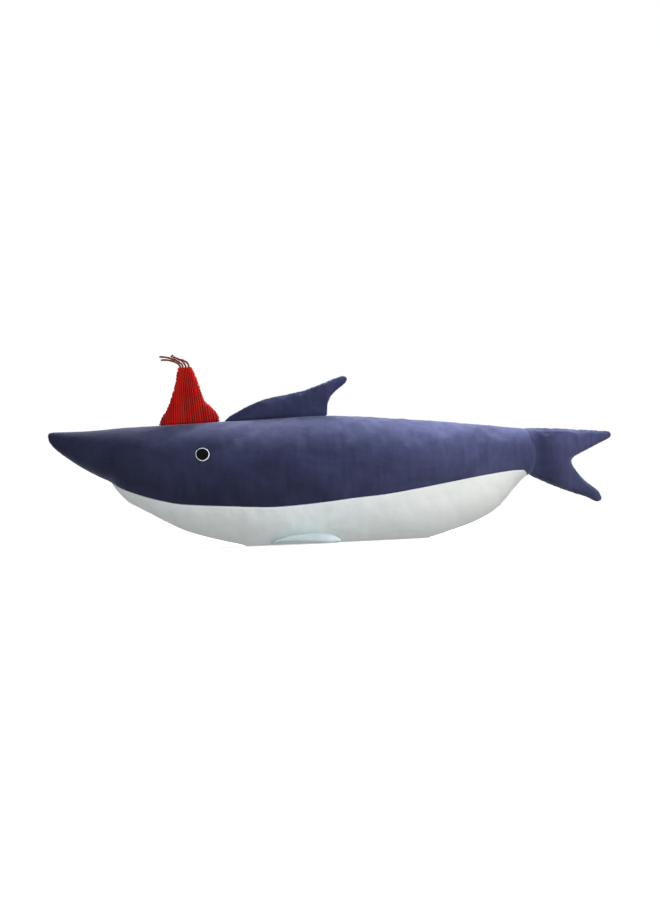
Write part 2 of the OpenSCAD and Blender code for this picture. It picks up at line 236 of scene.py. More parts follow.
def arc(g, axis):
    """Distance along one axis of a grid from its first row or column."""
    d = np.linalg.norm(np.diff(g, axis=axis), axis=-1)
    z = np.zeros_like(np.take(g[..., 0], [0], axis=axis))
    return np.concatenate([z, np.cumsum(d, axis=axis)], axis=axis)


def shell(name, g, n, t, mat, attrs=None, flip=False):
    """Closed sheet of fabric: grid g (millimetres, drawn level) and the same grid t further in."""
    r, c = g.shape[:2]
    inner = g - n * np.asarray(t)[..., None] if np.ndim(t) else g - n * t
    v = rest(np.concatenate([g.reshape(-1, 3), inner.reshape(-1, 3)]))
    k = r * c
    f = [grid_faces(r, c, 0, flip), grid_faces(r, c, k, not flip)]
    idx = np.arange(k).reshape(r, c)
    loop = np.concatenate([idx[0, :-1], idx[:-1, -1], idx[-1, :0:-1], idx[:0:-1, 0]])
    nxt = np.roll(loop, -1)
    rim = np.stack([loop, loop + k, nxt + k, nxt], -1)
    f.append(rim[:, ::-1] if flip else rim)
    ob = new_object(name, v, np.concatenate(f), mat)
    if attrs:
        for key, val in attrs.items():
            put_attribute(ob, key, np.concatenate([np.ravel(val), np.ravel(val)]))
    return ob


def pair_solid(ga, gb):
    """Vertices and faces of the solid between two grids of the same size."""
    r, c = ga.shape[:2]
    k = r * c
    idx = np.arange(k).reshape(r, c)
    loop = np.concatenate([idx[0, :-1], idx[:-1, -1], idx[-1, :0:-1], idx[:0:-1, 0]])
    nxt = np.roll(loop, -1)
    rim = np.stack([loop, loop + k, nxt + k, nxt], -1)
    f = np.concatenate([grid_faces(r, c, 0), grid_faces(r, c, k, True), rim])
    return np.concatenate([ga.reshape(-1, 3), gb.reshape(-1, 3)]), f


def make_outward(ob):
    """Turn a closed mesh's faces outward if its volume comes out negative."""
    me = ob.data
    co = np.empty(len(me.vertices) * 3)
    me.vertices.foreach_get("co", co)
    co = co.reshape(-1, 3)
    me.calc_loop_triangles()
    tri = np.empty(len(me.loop_triangles) * 3, np.int32)
    me.loop_triangles.foreach_get("vertices", tri)
    a, b, c = co[tri.reshape(-1, 3)].transpose(1, 0, 2)
    if np.einsum("ij,ij->i", a, np.cross(b, c)).sum() < 0:
        me.flip_normals()
    return ob


def sewn_cushion(verts, faces, voxel, pinned, slack, cap, pressure=4.0):
    """Fill a closed fabric shape with a cloth simulation. The seams are held, the fabric between them has a
    little slack, and the pressure of the filling pushes it out. Returns the movement as a function of place.
    verts: level drawing, millimetres. pinned(points) is 1 at the seams. cap: largest movement, millimetres."""
    sc = bpy.context.scene
    tmp = new_object("cushion", rest(verts), faces, None)
    rm = tmp.modifiers.new("remesh", "REMESH")
    rm.mode = "VOXEL"
    rm.voxel_size = voxel / 1000
    dg = bpy.context.evaluated_depsgraph_get()
    me = bpy.data.meshes.new_from_object(tmp.evaluated_get(dg))
    bpy.data.objects.remove(tmp)
    ob = bpy.data.objects.new("cushion", me)
    sc.collection.objects.link(ob)
    n = len(me.vertices)
    co, no = np.empty(n * 3), np.empty(n * 3)
    me.vertices.foreach_get("co", co)
    me.vertices.foreach_get("normal", no)
    co = (co.reshape(-1, 3) - no.reshape(-1, 3) * 0.0004)
    me.vertices.foreach_set("co", co.ravel())
    start = unrest(co * 1000)
    hold = np.clip(pinned(start), 0, 1)
    vg = ob.vertex_groups.new(name="pin")
    for i in np.nonzero(hold > 0.02)[0]:
        vg.add([int(i)], float(hold[i]), "REPLACE")
    md = ob.modifiers.new("cloth", "CLOTH")
    st = md.settings
    st.quality = 5
    st.mass = 0.25
    st.air_damping = 3.0
    st.tension_stiffness = st.compression_stiffness = 12
    st.shear_stiffness = 6
    st.bending_stiffness = 0.6
    st.tension_damping = st.compression_damping = 8
    st.vertex_group_mass = "pin"
    st.pin_stiffness = 1.0
    st.shrink_min = -slack
    st.use_pressure = True
    st.uniform_pressure_force = pressure
    st.effector_weights.gravity = 0
    md.collision_settings.use_collision = False
    md.collision_settings.use_self_collision = False
    md.point_cache.frame_start, md.point_cache.frame_end = 1, 20
    for f in range(1, 21):
        sc.frame_set(f)
    dg = bpy.context.evaluated_depsgraph_get()
    ev = ob.evaluated_get(dg)
    out = np.empty(n * 3)
    ev.data.vertices.foreach_get("co", out)
    move = unrest(out.reshape(-1, 3) * 1000) - start
    move[~np.isfinite(move).all(1)] = 0
    bpy.data.objects.remove(ob)
    sc.frame_set(1)
    l = np.linalg.norm(move, axis=1, keepdims=True)
    print("cushion", n, "vertices, moved up to", round(float(l.max()), 2), "mm, middle value",
          round(float(np.median(l)), 2), "mm")
    move = move * (cap * np.tanh(l / cap) / np.maximum(l, 1e-9))
    tree = KDTree(n)
    for i, p in enumerate(start):
        tree.insert(p, i)
    tree.balance()

    def field(points):
        pts = np.asarray(points, float).reshape(-1, 3)
        res = np.empty_like(pts)
        for i, p in enumerate(pts):
            near = tree.find_n(p, 6)
            w = np.array([1.0 / (q[2] ** 2 + 4.0) for q in near])
            res[i] = (move[[q[1] for q in near]] * w[:, None]).sum(0) / w.sum()
        return res.reshape(np.shape(points))
    return field


def side_move(field, g, s):
    """Movement of a left-hand grid; for s > 0 the same grid is looked up on the right and mirrored back."""
    return field(g) if s < 0 else field(g * mirror) * mirror


def near_lines(lines, width):
    """1 on a set of lines (lists of points), falling to 0 at the given distance."""
    pts = np.concatenate([np.asarray(l, float).reshape(-1, 3) for l in lines])
    tree = KDTree(len(pts))
    for i, p in enumerate(pts):
        tree.insert(p, i)
    tree.balance()
    return lambda q: np.array([max(0.0, 1.0 - tree.find(p)[2] / width) for p in q]) * 1.6


def rounded(d, r):
    q = 1 - np.clip(d / r, 0, 1)
    return np.sqrt(np.maximum(1 - q * q, 0))


def inset_rows(g, margin, cols, thin, ends=6.0, axis=1):
    """A left-hand fin grid drawn in by a margin all round: the outside of its filling."""
    tips = np.minimum(arc(g, 0), arc(g, 0)[-1:] - arc(g, 0))[:, g.shape[1] // 2]
    out = []
    for row, tip in zip(g, tips):
        d = np.concatenate([[0], np.cumsum(np.linalg.norm(np.diff(row, axis=0), axis=1))])
        if d[-1] < 2.6 * margin or tip < ends:
            continue
        at = np.linspace(margin, d[-1] - margin, cols)
        out.append(np.stack([np.interp(at, d, row[:, c]) for c in range(3)], -1))
    core = np.array(out[::4])
    core[..., axis] = np.minimum(core[..., axis] * thin + 1.0, -0.1)
    return core


def stuffing(name, ob_verts, faces, node_name, bodies=None):
    """The filling of a piece: a closed solid just inside its fabric."""
    ob = make_outward(new_object(name, rest(ob_verts), faces, filling))
    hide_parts(node_name)
    if bodies is None:
        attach(ob, "body")
    else:
        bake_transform(ob)
    return ob


def clustered(n, strength=0.85):
    """0..1 with the points closer together at both ends."""
    u = np.linspace(0, 1, n)
    return u * (1 - strength) + (0.5 - 0.5 * np.cos(np.pi * u)) * strength


# ------------------------------------------------------------------ materials
def new_material(name):
    mat = bpy.data.materials.new(name)
    mat.use_nodes = True
    nt = mat.node_tree
    nt.nodes.clear()
    out = nt.nodes.new("ShaderNodeOutputMaterial")
    bs = nt.nodes.new("ShaderNodeBsdfPrincipled")
    nt.links.new(bs.outputs["BSDF"], out.inputs["Surface"])
    return mat, nt, bs


class Nodes:
    """Short hand for building node trees."""

    def __init__(self, nt):
        self.nt = nt
        tc = nt.nodes.new("ShaderNodeTexCoord")
        self.co = tc.outputs["Object"]

    def link(self, a, b):
        self.nt.links.new(a, b)

    def mapping(self, scale, vector=None, rot=(0, 0, 0)):
        n = self.nt.nodes.new("ShaderNodeMapping")
        n.inputs["Scale"].default_value = scale
        n.inputs["Rotation"].default_value = rot
        self.link(vector or self.co, n.inputs["Vector"])
        return n.outputs["Vector"]

    def noise(self, scale, detail=2.0, rough=0.5, vector=None, distortion=0.0):
        n = self.nt.nodes.new("ShaderNodeTexNoise")
        n.inputs["Scale"].default_value = scale
        n.inputs["Detail"].default_value = detail
        n.inputs["Roughness"].default_value = rough
        n.inputs["Distortion"].default_value = distortion
        self.link(vector or self.co, n.inputs["Vector"])
        return n.outputs["Fac"]

    def ramp(self, fac, stops, interp="LINEAR"):
        n = self.nt.nodes.new("ShaderNodeValToRGB")
        n.color_ramp.interpolation = interp
        el = n.color_ramp.elements
        while len(el) < len(stops):
            el.new(0.5)
        for e, (pos, col) in zip(el, stops):
            e.position = pos
            e.color = (*col, 1) if len(col) == 3 else col
        self.link(fac, n.inputs["Fac"])
        return n.outputs["Color"]

    def mix(self, fac, a, b, mode="MIX"):
        n = self.nt.nodes.new("ShaderNodeMix")
        n.data_type = "RGBA"
        n.blend_type = mode
        for s, v in ((n.inputs["Factor"], fac), (n.inputs["A"], a), (n.inputs["B"], b)):
            pass
        f, A, B = n.inputs[0], n.inputs[6], n.inputs[7]
        for s, v in ((f, fac), (A, a), (B, b)):
            if hasattr(v, "links") or hasattr(v, "is_linked"):
                self.link(v, s)
            elif isinstance(v, (tuple, list)):
                s.default_value = (*v, 1) if len(v) == 3 else v
            else:
                s.default_value = v
        return n.outputs[2]

    def math(self, op, a, b=None, c=None, clamp=False):
        n = self.nt.nodes.new("ShaderNodeMath")
        n.operation = op
        n.use_clamp = clamp
        for s, v in zip(n.inputs, (a, b, c)):
            if v is None:
                continue
            if hasattr(v, "is_linked"):
                self.link(v, s)
            else:
                s.default_value = v
        return n.outputs[0]

    def attribute(self, name):
        n = self.nt.nodes.new("ShaderNodeAttribute")
        n.attribute_name = name
        return n.outputs["Fac"]

    def bump(self, height, strength, distance, normal=None):
        n = self.nt.nodes.new("ShaderNodeBump")
        n.inputs["Strength"].default_value = strength
        n.inputs["Distance"].default_value = distance
        self.link(height, n.inputs["Height"])
        if normal:
            self.link(normal, n.inputs["Normal"])
        return n.outputs["Normal"]


def velour(name, dark, base, light, sheen=0.35, sheen_tint=(0.7, 0.75, 1.0), edge=None, patch=1.0, painted_light=None, drift=None):
    """Short brushed pile: patches where the pile lies one way or the other, fine fibre, a sheen at the rim, painted
    shade in the seams; optionally painted light and shade along the body and from the top down, and a painted highlight
    along the seams.
    """
    mat, nt, bs = new_material(name)
    n = Nodes(nt)
    # patches of nap, long along the body
    warp = n.mapping((1.0, 1.0, 1.6))
    big = n.noise(8.0, 4.0, 0.6, warp, 1.0)
    col = n.ramp(big, [(0.36, dark), (0.5, base), (0.66, light)])
    col = n.mix(1.0 - patch, col, base) if patch < 1 else col
    # brushed streaks across the nap
    streak = n.noise(60.0, 3.0, 0.6, n.mapping((2.2, 1.0, 0.25)), 0.4)
    col = n.mix(0.22, col, n.ramp(streak, [(0.35, dark), (0.65, light)]), "MIX")
    # fibre ends
    fibre = n.noise(1400.0, 2.0, 0.6, n.mapping((1.0, 1.0, 0.8)))
    col = n.mix(0.28, col, n.ramp(fibre, [(0.3, dark), (0.7, light)]), "MIX")
    if painted_light:
        # painted light and shade along the body: dark at the nose, lighter towards the tail, with painted shade in the
        # fold beside the tail's root and towards the tail's tips
        sx = nt.nodes.new("ShaderNodeSeparateXYZ")
        n.link(n.co, sx.inputs[0])
        pos = n.math("ADD", n.math("MULTIPLY", sx.outputs["X"], 1.25), 0.5, clamp=True)
        # where the painted shade is darker it is also bluer
        tone = [((x + 0.4) / 0.8, (v * (0.94 + 0.10 * v), v * (0.985 + 0.045 * v), v * (1.13 - 0.14 * v)))
                for x, v in painted_light]
        col = n.mix(1.0, col, n.ramp(pos, tone), "MULTIPLY")
        # painted shade from the top down: the lower sides darker, the top fully lit
        painted_top_light = n.math("MULTIPLY", sx.outputs["Z"], 4.0, clamp=True)
        col = n.mix(1.0, col, n.ramp(painted_top_light, [(0.12, (0.64, 0.62, 0.60)), (0.32, (0.76, 0.75, 0.74)),
                                            (0.48, (0.93, 0.93, 0.93)), (0.62, (1, 1, 1))]), "MULTIPLY")
    if drift:
        # the pale pile turns a little creamier towards the tail
        sx = nt.nodes.new("ShaderNodeSeparateXYZ")
        n.link(n.co, sx.inputs[0])
        pos = n.math("ADD", n.math("MULTIPLY", sx.outputs["X"], 1.25), 0.5, clamp=True)
        col = n.mix(1.0, col, n.ramp(pos, [((x + 0.4) / 0.8, c) for x, c in drift]), "MULTIPLY")
    # seams: painted shade darkens the groove, and on the fabrics given an edge colour a painted highlight shows as a
    # pale edge
    seam = n.attribute("seam")
    seam_groove_shade = n.ramp(seam, [(0.55, (0, 0, 0)), (0.98, (1, 1, 1))])
    col = n.mix(n.math("MULTIPLY", seam_groove_shade, 0.55), col, tuple(c * 0.35 for c in dark))
    if edge:
        rim = n.ramp(seam, [(0.35, (0, 0, 0)), (0.62, (1, 1, 1)), (0.86, (1, 1, 1)), (0.97, (0, 0, 0))])
        col = n.mix(n.math("MULTIPLY", rim, 0.8), col, edge)
    n.link(col, bs.inputs["Base Color"])
    pile = n.noise(420.0, 4.0, 0.65, n.mapping((1.0, 1.0, 0.7)))
    lumps = n.noise(46.0, 3.0, 0.55)
    nor = n.bump(lumps, 0.22, 0.004)
    nor = n.bump(pile, 0.35, 0.0007, nor)
    nor = n.bump(fibre, 0.30, 0.0003, nor)
    n.link(nor, bs.inputs["Normal"])
    bs.inputs["Roughness"].default_value = 0.92
    bs.inputs["Specular IOR Level"].default_value = 0.12
    bs.inputs["Sheen Weight"].default_value = sheen
    bs.inputs["Sheen Roughness"].default_value = 0.42
    bs.inputs["Sheen Tint"].default_value = (*sheen_tint, 1)
    return mat


# painted light and shade along the body, by x in metres from the nose to the tail's tips: dark at the nose, light
# towards the tail, painted shade in the fold behind the tail's root
PAINTED_LIGHT_ALONG_BODY = [(-0.40, 0.22), (-0.335, 0.24), (-0.29, 0.22), (-0.25, 0.28), (-0.216, 0.32), (-0.083, 0.41), (0.0, 0.52),
       (0.085, 0.66), (0.17, 0.92), (0.253, 1.0), (0.284, 0.94), (0.292, 0.62), (0.306, 0.68), (0.332, 1.0), (0.362, 0.97),
       (0.39, 0.74)]
navy = velour("navy_velour", (0.045, 0.050, 0.120), (0.078, 0.086, 0.202), (0.122, 0.134, 0.288),
              sheen=0.30, sheen_tint=(0.66, 0.74, 1.0), painted_light=PAINTED_LIGHT_ALONG_BODY)
pale = velour("pale_velour", (0.76, 0.80, 0.785), (0.84, 0.88, 0.865), (0.89, 0.92, 0.91), sheen=0.12,
              sheen_tint=(1, 1, 1), edge=(0.86, 0.88, 0.93),
              drift=[(0.04, (1.0, 1.0, 1.0)), (0.22, (1.035, 1.008, 0.975))])
fin_pale = velour("fin_velour", (0.62, 0.73, 0.75), (0.68, 0.80, 0.82), (0.74, 0.85, 0.87), sheen=0.10,
                  sheen_tint=(1, 1, 1))
for mt in (navy, pale, fin_pale):
    mt.diffuse_color = (0.2, 0.2, 0.3, 1)


def felt(name, dark, base, light, twill=False):
    mat, nt, bs = new_material(name)
    n = Nodes(nt)
    wool = n.noise(900.0, 4.0, 0.7, n.mapping((1.0, 1.0, 1.0)), 1.2)
    col = n.ramp(wool, [(0.3, dark), (0.5, base), (0.75, light)])
    n.link(col, bs.inputs["Base Color"])
    height = wool
    if twill:
        w = nt.nodes.new("ShaderNodeTexWave")
        w.wave_type = "BANDS"
        w.bands_direction = "X"
        w.inputs["Scale"].default_value = 190.0
        w.inputs["Distortion"].default_value = 1.5
        n.link(n.mapping((1.0, 1.0, 1.0), rot=(0, math.radians(45), 0)), w.inputs["Vector"])
        height = n.math("ADD", n.math("MULTIPLY", w.outputs["Fac"], 1.2), wool)
    n.link(n.bump(height, 0.5, 0.0005), bs.inputs["Normal"])
    bs.inputs["Roughness"].default_value = 0.9
    bs.inputs["Specular IOR Level"].default_value = 0.15
    bs.inputs["Sheen Weight"].default_value = 0.12
    bs.inputs["Sheen Roughness"].default_value = 0.5
    return mat


white_felt = felt("white_felt", (0.76, 0.77, 0.80), (0.90, 0.91, 0.93), (0.95, 0.96, 0.97))
black_felt = felt("black_felt", (0.0015, 0.0015, 0.0015), (0.004, 0.004, 0.004), (0.011, 0.010, 0.010), twill=True)
black_felt.node_tree.nodes["Principled BSDF"].inputs["Sheen Weight"].default_value = 0.0
black_felt.node_tree.nodes["Principled BSDF"].inputs["Specular IOR Level"].default_value = 0.08


def knit_material():
    mat, nt, bs = new_material("red_knit")
    n = Nodes(nt)
    fuzz = n.noise(700.0, 3.0, 0.7, n.mapping((1, 1, 0.6)), 0.8)
    big = n.noise(30.0, 2.0, 0.5)
    col = n.ramp(fuzz, [(0.25, (0.40, 0.003, 0.001)), (0.55, (0.62, 0.007, 0.002)), (0.85, (0.85, 0.022, 0.006))])
    col = n.mix(0.35, col, n.ramp(big, [(0.35, (0.34, 0.003, 0.001)), (0.65, (0.80, 0.014, 0.004))]))
    # painted shade: the grooves between the ribs are darker
    rib_groove_shade = n.attribute("rib_groove_shade")
    col = n.mix(n.ramp(rib_groove_shade, [(0.12, (1, 1, 1)), (0.70, (0, 0, 0))]), col, (0.050, 0.001, 0.001))
    n.link(col, bs.inputs["Base Color"])
    nor = n.bump(fuzz, 0.5, 0.0005)
    n.link(nor, bs.inputs["Normal"])
    bs.inputs["Roughness"].default_value = 0.85
    bs.inputs["Specular IOR Level"].default_value = 0.2
    bs.inputs["Sheen Weight"].default_value = 0.10
    bs.inputs["Sheen Roughness"].default_value = 0.45
    bs.inputs["Sheen Tint"].default_value = (1.0, 0.45, 0.35, 1)
    return mat


red_knit = knit_material()


def strand_material():
    mat, nt, bs = new_material("strand_yarn")
    n = Nodes(nt)
    ply = n.noise(500.0, 3.0, 0.6, n.mapping((1, 1, 1)), 0.5)
    col = n.ramp(ply, [(0.3, (0.055, 0.009, 0.004)), (0.55, (0.19, 0.036, 0.015)), (0.8, (0.46, 0.14, 0.075))])
    n.link(col, bs.inputs["Base Color"])
    n.link(n.bump(ply, 0.4, 0.0004), bs.inputs["Normal"])
    bs.inputs["Roughness"].default_value = 0.40
    bs.inputs["Specular IOR Level"].default_value = 0.30
    bs.inputs["Sheen Weight"].default_value = 0.0
    return mat


strand_mat = strand_material()


def filling_material():
    mat, nt, bs = new_material("polyester_filling")
    n = Nodes(nt)
    f = n.noise(220.0, 5.0, 0.75, n.mapping((1, 1, 1)), 2.5)
    n.link(n.ramp(f, [(0.3, (0.72, 0.72, 0.70)), (0.7, (0.92, 0.92, 0.90))]), bs.inputs["Base Color"])
    n.link(n.bump(f, 0.8, 0.002), bs.inputs["Normal"])
    bs.inputs["Roughness"].default_value = 0.95
    bs.inputs["Sheen Weight"].default_value = 0.3
    return mat


filling = filling_material()

# ------------------------------------------------------------------ body
ROWS = np.unique(np.round(np.concatenate([
    -394 + 8 * (1 - np.cos(np.linspace(0, np.pi / 2, 16))),
    np.linspace(-386, -345, 18), np.linspace(-345, -312, 14), np.linspace(-312, -290, 16),
    np.linspace(-304.5, -304.5, 1), np.linspace(-290, 262, 230), np.linspace(262, 284, 22), [277.0],
    284 + 6.6 * np.sin(np.linspace(0, np.pi / 2, 18))]), 4))
ROWS = ROWS[np.concatenate([[True], np.diff(ROWS) > 0.02])]
I0, I1 = int(np.argmin(abs(ROWS + 304.5))), int(np.argmin(abs(ROWS - 277)))
ROWS[I0], ROWS[I1] = -304.5, 277.0
J, K = 44, 41
end = np.full(len(ROWS), 180.0)
end[I0:I1 + 1] = seam_angle(ROWS[I0:I1 + 1])
t = clustered(J)
left = skin(ROWS[:, None], end[:, None] * t[None, :])
belly_rows = ROWS[I0 - 1:I1 + 2]
a0 = np.concatenate([[180.0], seam_angle(ROWS[I0:I1 + 1]), [180.0]])
tb = clustered(K)
belly = skin(belly_rows[:, None], a0[:, None] + (360 - 2 * a0[:, None]) * tb[None, :])
left[0, :, 1] = 0
left[-1, :, 1] = 0


def soften(g, d_list, n, roll, depth, pucker, seed):
    """Turn a panel's edges in at its seams: returns the moved grid and the mask for painted shade at the seams."""
    seam = np.zeros(g.shape[:2])
    for k, (d, along) in enumerate(d_list):
        w = roll[k]
        u = np.clip(1 - d / w, 0, 1)
        sink = depth[k] * (1 - np.sqrt(np.maximum(1 - u * u, 0)))
        wave = np.sin(along * 2 * np.pi / 7.3 + 1.3 * np.sin(along / 11.0 + seed) + k)
        wave = wave * (0.6 + 0.4 * np.sin(along / 23.0 + 2 * k + seed))
        sink = sink + pucker[k] * np.exp(-((d - 3.0) / 5.0) ** 2) * (0.5 - 0.5 * wave)
        g = g - n * sink[..., None]
        seam = np.maximum(seam, np.clip(1 - d / (w * 1.6), 0, 1))
    return g, seam


def lumps(g, n, amount, seed):
    """The filling shows a little through the fabric."""
    f = 0.6 * noise(g, 62, seed) + 0.3 * noise(g, 31, seed + 1) + 0.12 * noise(g, 15, seed + 2)
    return g + n * (amount * f)[..., None]


EYE_X, EYE_A = -173.0, 66.0
eye_c = skin(EYE_X, EYE_A)


def press_eye(g, n):
    """The pile is pressed down under and round the felt eye."""
    out = g
    for s in (1, -1):
        c = eye_c * np.array([1, s, 1])
        d = np.linalg.norm(g - c, axis=-1)
        sink = 0.9 * np.exp(-((d - 10.5) / 2.6) ** 2) + 0.5 * (d < 10.5) * (1 - d / 21)
        out = out - n * (sink * (d < 25))[..., None]
    return out


axis_mid = np.stack([ROWS, np.zeros_like(ROWS), section(ROWS)[0]], -1)
n_left = grid_normals(left, left - axis_mid[:, None])
ax_b = np.stack([belly_rows, np.zeros_like(belly_rows), section(belly_rows)[0]], -1)
n_belly = grid_normals(belly, belly - ax_b[:, None])
n_left[:, 0, 1] = 0  # ridge: no sideways part
n_left /= np.maximum(np.linalg.norm(n_left, axis=-1, keepdims=True), 1e-9)

flat_left = np.clip((left[..., 2] - ground(left[..., 0])) / 6.0, 0, 1)
flat_belly = np.clip((belly[..., 2] - ground(belly[..., 0])) / 6.0, 0, 1)
d_top = arc(left, 1)
d_low = d_top[:, -1:] - d_top
along = arc(left, 0)[:, J // 2][:, None] + 0 * d_top
ends_l = np.minimum(arc(left, 0)[:, J // 2], 12)[:, None] / 12 * np.minimum((290.6 - ROWS) / 12, 1)[:, None]
fr_rows = np.linspace(-393.9, 290.5, 150)
ring_a = np.linspace(0, 360, 56, endpoint=False)
body_tube = skin(fr_rows[:, None], ring_a[None, :])
tube_faces = [tuple(f) for f in grid_faces(150, 56, 0, False, wrap=True).tolist()]
tube_faces += [tuple(range(56))[::-1], tuple(range(149 * 56, 150 * 56))]
seam_left = left[I0:I1 + 1, -1]
hold = near_lines([seam_left, seam_left * mirror, left[::2, 0] + [0, 0, 0], left[:6].reshape(-1, 3)], 5.0)
floor_hold = lambda q: np.clip(1 - (q[:, 2] - ground(q[:, 0]) - 1.0) / 5.0, 0, 1)
body_field = sewn_cushion(body_tube.reshape(-1, 3), tube_faces, 6.0,
                          lambda q: np.maximum(hold(q), floor_hold(q)), 0.013, 2.3)
# nothing moves where the eye, the dorsal fin and the hat are sewn on
calm = np.clip((np.linalg.norm(left - eye_c, axis=-1) - 14) / 16, 0, 1)
for a, b, w in ((-150, 2, 14), (-242, -150, 22)):
    away = np.hypot(np.maximum(np.maximum(a - left[..., 0], left[..., 0] - b), 0), np.maximum(d_top - w, 0))
    calm = np.minimum(calm, np.clip(away / 14, 0, 1))
calm = calm * np.clip((left[..., 0] + 300) / 70, 0, 1)
ends_l = ends_l * np.clip((left[..., 0] + 310) / 40, 0.15, 1)
open_l = (np.minimum(d_top / 12, 1) * np.minimum(d_low / 12, 1) * ends_l)[..., None]
SKIN_T = 1.8
for s, sname in ((-1, "left"), (1, "right")):
    g = left + side_move(body_field, left, s) * (ends_l * calm)[..., None]
    g = g + (lumps(left, n_left, 0.8, 5 + s) - left) * open_l
    g = press_eye(g, n_left)
    g, s_left = soften(g, [(d_top, along), (d_low, along)], n_left, (1.6, 2.4), (0.7, 2.2), (0.12, 0.45), 1.0 + s)
    g[..., 2] = np.maximum(g[..., 2], ground(g[..., 0]) + 0.02)
    g[..., 1] = np.minimum(g[..., 1], -0.02)
    k = np.array([1.0, -s, 1.0])
    # the seam mask carries painted shade; it is weaker along the ridge
    ob = make_outward(shell(f"back_skin_{sname}", g * k, n_left * k, SKIN_T, navy,
                            {"seam": np.where(d_top < 8, s_left * 0.66, s_left)}))
    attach(ob, "body")
    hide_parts(f"back_panel_{sname}")

d_b = arc(belly, 1)
d_bl, d_br = d_b, d_b[:, -1:] - d_b
along_b = np.interp(belly_rows, ROWS, arc(left, 0)[:, J // 2])[:, None] + 0 * d_b
open_b = flat_belly * np.minimum(d_bl / 12, 1) * np.minimum(d_br / 12, 1)
g_belly = belly + body_field(belly) * (np.minimum(flat_belly, 1) * 0.5)[..., None]
g_belly = g_belly + n_belly * ((0.6 * noise(belly, 62, 9) + 0.3 * noise(belly, 31, 10)) * 0.8 * open_b)[..., None]
g_belly, s_belly = soften(g_belly, [(d_bl, along_b), (d_br, along_b)], n_belly, (2.0, 2.0), (1.7, 1.7), (0.4, 0.4), 1.0)
g_belly[..., 2] = np.maximum(g_belly[..., 2], ground(g_belly[..., 0]))
belly_skin = make_outward(shell("belly_skin", g_belly, n_belly, SKIN_T, pale, {"seam": s_belly}))
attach(belly_skin, "body")
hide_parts("belly_panel")

core_rows = np.linspace(-380, 262, 110)
core_ring = skin(core_rows[:, None], ring_a[None, :])
core_mid = np.stack([core_rows, 0 * core_rows, section(core_rows)[0]], -1)[:, None]
core_out = core_ring - core_mid
core_len = np.linalg.norm(core_out, axis=-1, keepdims=True)
core_ring = core_mid + core_out * np.maximum(1 - 8.0 / np.maximum(core_len, 9.0), 0.1)
core_ring[..., 2] = np.maximum(core_ring[..., 2], ground(core_ring[..., 0]) + 2.6)
core_faces = [tuple(f) for f in grid_faces(110, 56, 0, False, wrap=True).tolist()]
core_faces += [tuple(range(56))[::-1], tuple(range(109 * 56, 110 * 56))]
stuffing("body_stuffing", core_ring.reshape(-1, 3), core_faces, "body_filling")


# ------------------------------------------------------------------ fins
def smooth_table(t, key, n, ends=0.6):
    """A table resampled at n rows, evenly along its key curve but closer at both ends."""
    t = np.asarray(t, float)
    s = np.concatenate([[0], np.cumsum(np.linalg.norm(np.diff(t[:, key], axis=0), axis=1))])
    s /= s[-1]
    tt = np.concatenate([s[:, None], t], 1)
    u = clustered(n, ends)
    return np.stack([curve(tt, u, c + 1) for c in range(t.shape[1])], -1), u


DORSAL = [
    [-146, 0.2, -145.6, 1.6, 0.6], [-139, 0.0, -139, 7.5, 3], [-130, 0.0, -130, 12.3, 5],
    [-112, 0.0, -112, 21.2, 7.5], [-84, 0.0, -86, 29.6, 9.5], [-56, 0.0, -62, 32.8, 10.5],
    [-30, 0.0, -38, 36.6, 11], [-12, 0.0, -20, 42, 11], [-2.6, 1.5, -8, 46.3, 10.5],
    [-2, 14, 0, 49.6, 9.5], [2, 25.5, 6, 52, 8], [10.5, 35.5, 13.5, 54.8, 6.8],
    [18.8, 42.3, 19, 56.2, 5.6], [23.6, 47.5, 23.2, 55.6, 3.8], [25.6, 51, 25.4, 53, 1.2]]
dt, du = smooth_table(DORSAL, [2, 3], 150, 0.4)
C = 40
u = clustered(C, 0.9)[None, :]
bx, bh, lx, lh, T = [dt[:, i:i + 1] for i in range(5)]
bz, lz = ridge(bx) + bh, ridge(lx) + lh
attached = np.clip(1 - (bh - 0.4) / 3.0, 0, 1)
attached = attached * attached * (3 - 2 * attached) * rounded(np.maximum(-1.8 - bx, 0), 14)
prof_a = np.sqrt(np.maximum(1 - u ** 2.3, 0)) * (1 - 0.26 * np.exp(-(u / 0.10) ** 2))
prof_f = np.maximum(1 - (2 * u - 1) ** 2, 0) ** 0.5
y = T * (prof_a * attached + prof_f * (1 - attached))
dx = bx + (lx - bx) * u
dz = bz + (lz - bz) * u
drop = (ridge(dx) - skin_height(dx, y) + 0.9) * attached * np.clip(1 - u / 0.25, 0, 1) ** 2
dorsal = np.stack([dx, -y, dz - drop], -1)
n_d = grid_normals(dorsal, np.stack([0 * dx, -np.ones_like(dx), 0 * dz], -1))
d_base, d_edge = arc(dorsal, 1), None
d_edge = d_base[:, -1:] - d_base
al = arc(dorsal, 0)[:, -1][:, None] + 0 * d_base
outline = np.concatenate([dorsal[:, -1], dorsal[:, 0]]) * [1, 0, 1]
hold_d = near_lines([outline], 4.0)
low_d = lambda q: np.clip(1 - (q[:, 2] - skin_height(q[:, 0], q[:, 1]) - 2) / 6.0, 0, 1)
d_v, d_f = pair_solid(dorsal, dorsal * mirror)
dorsal_field = sewn_cushion(d_v, d_f, 4.0, lambda q: np.maximum(hold_d(q), low_d(q)), 0.02, 1.8)
free = (1 - attached) + 0 * d_base
d_rear = np.where(free > 0.5, d_base, 60.0)
body_dorsal = ("body", "dorsal_fin", tuple(rest([-70, 0, 177.5])), tuple(rest([-70, 0, 192])))
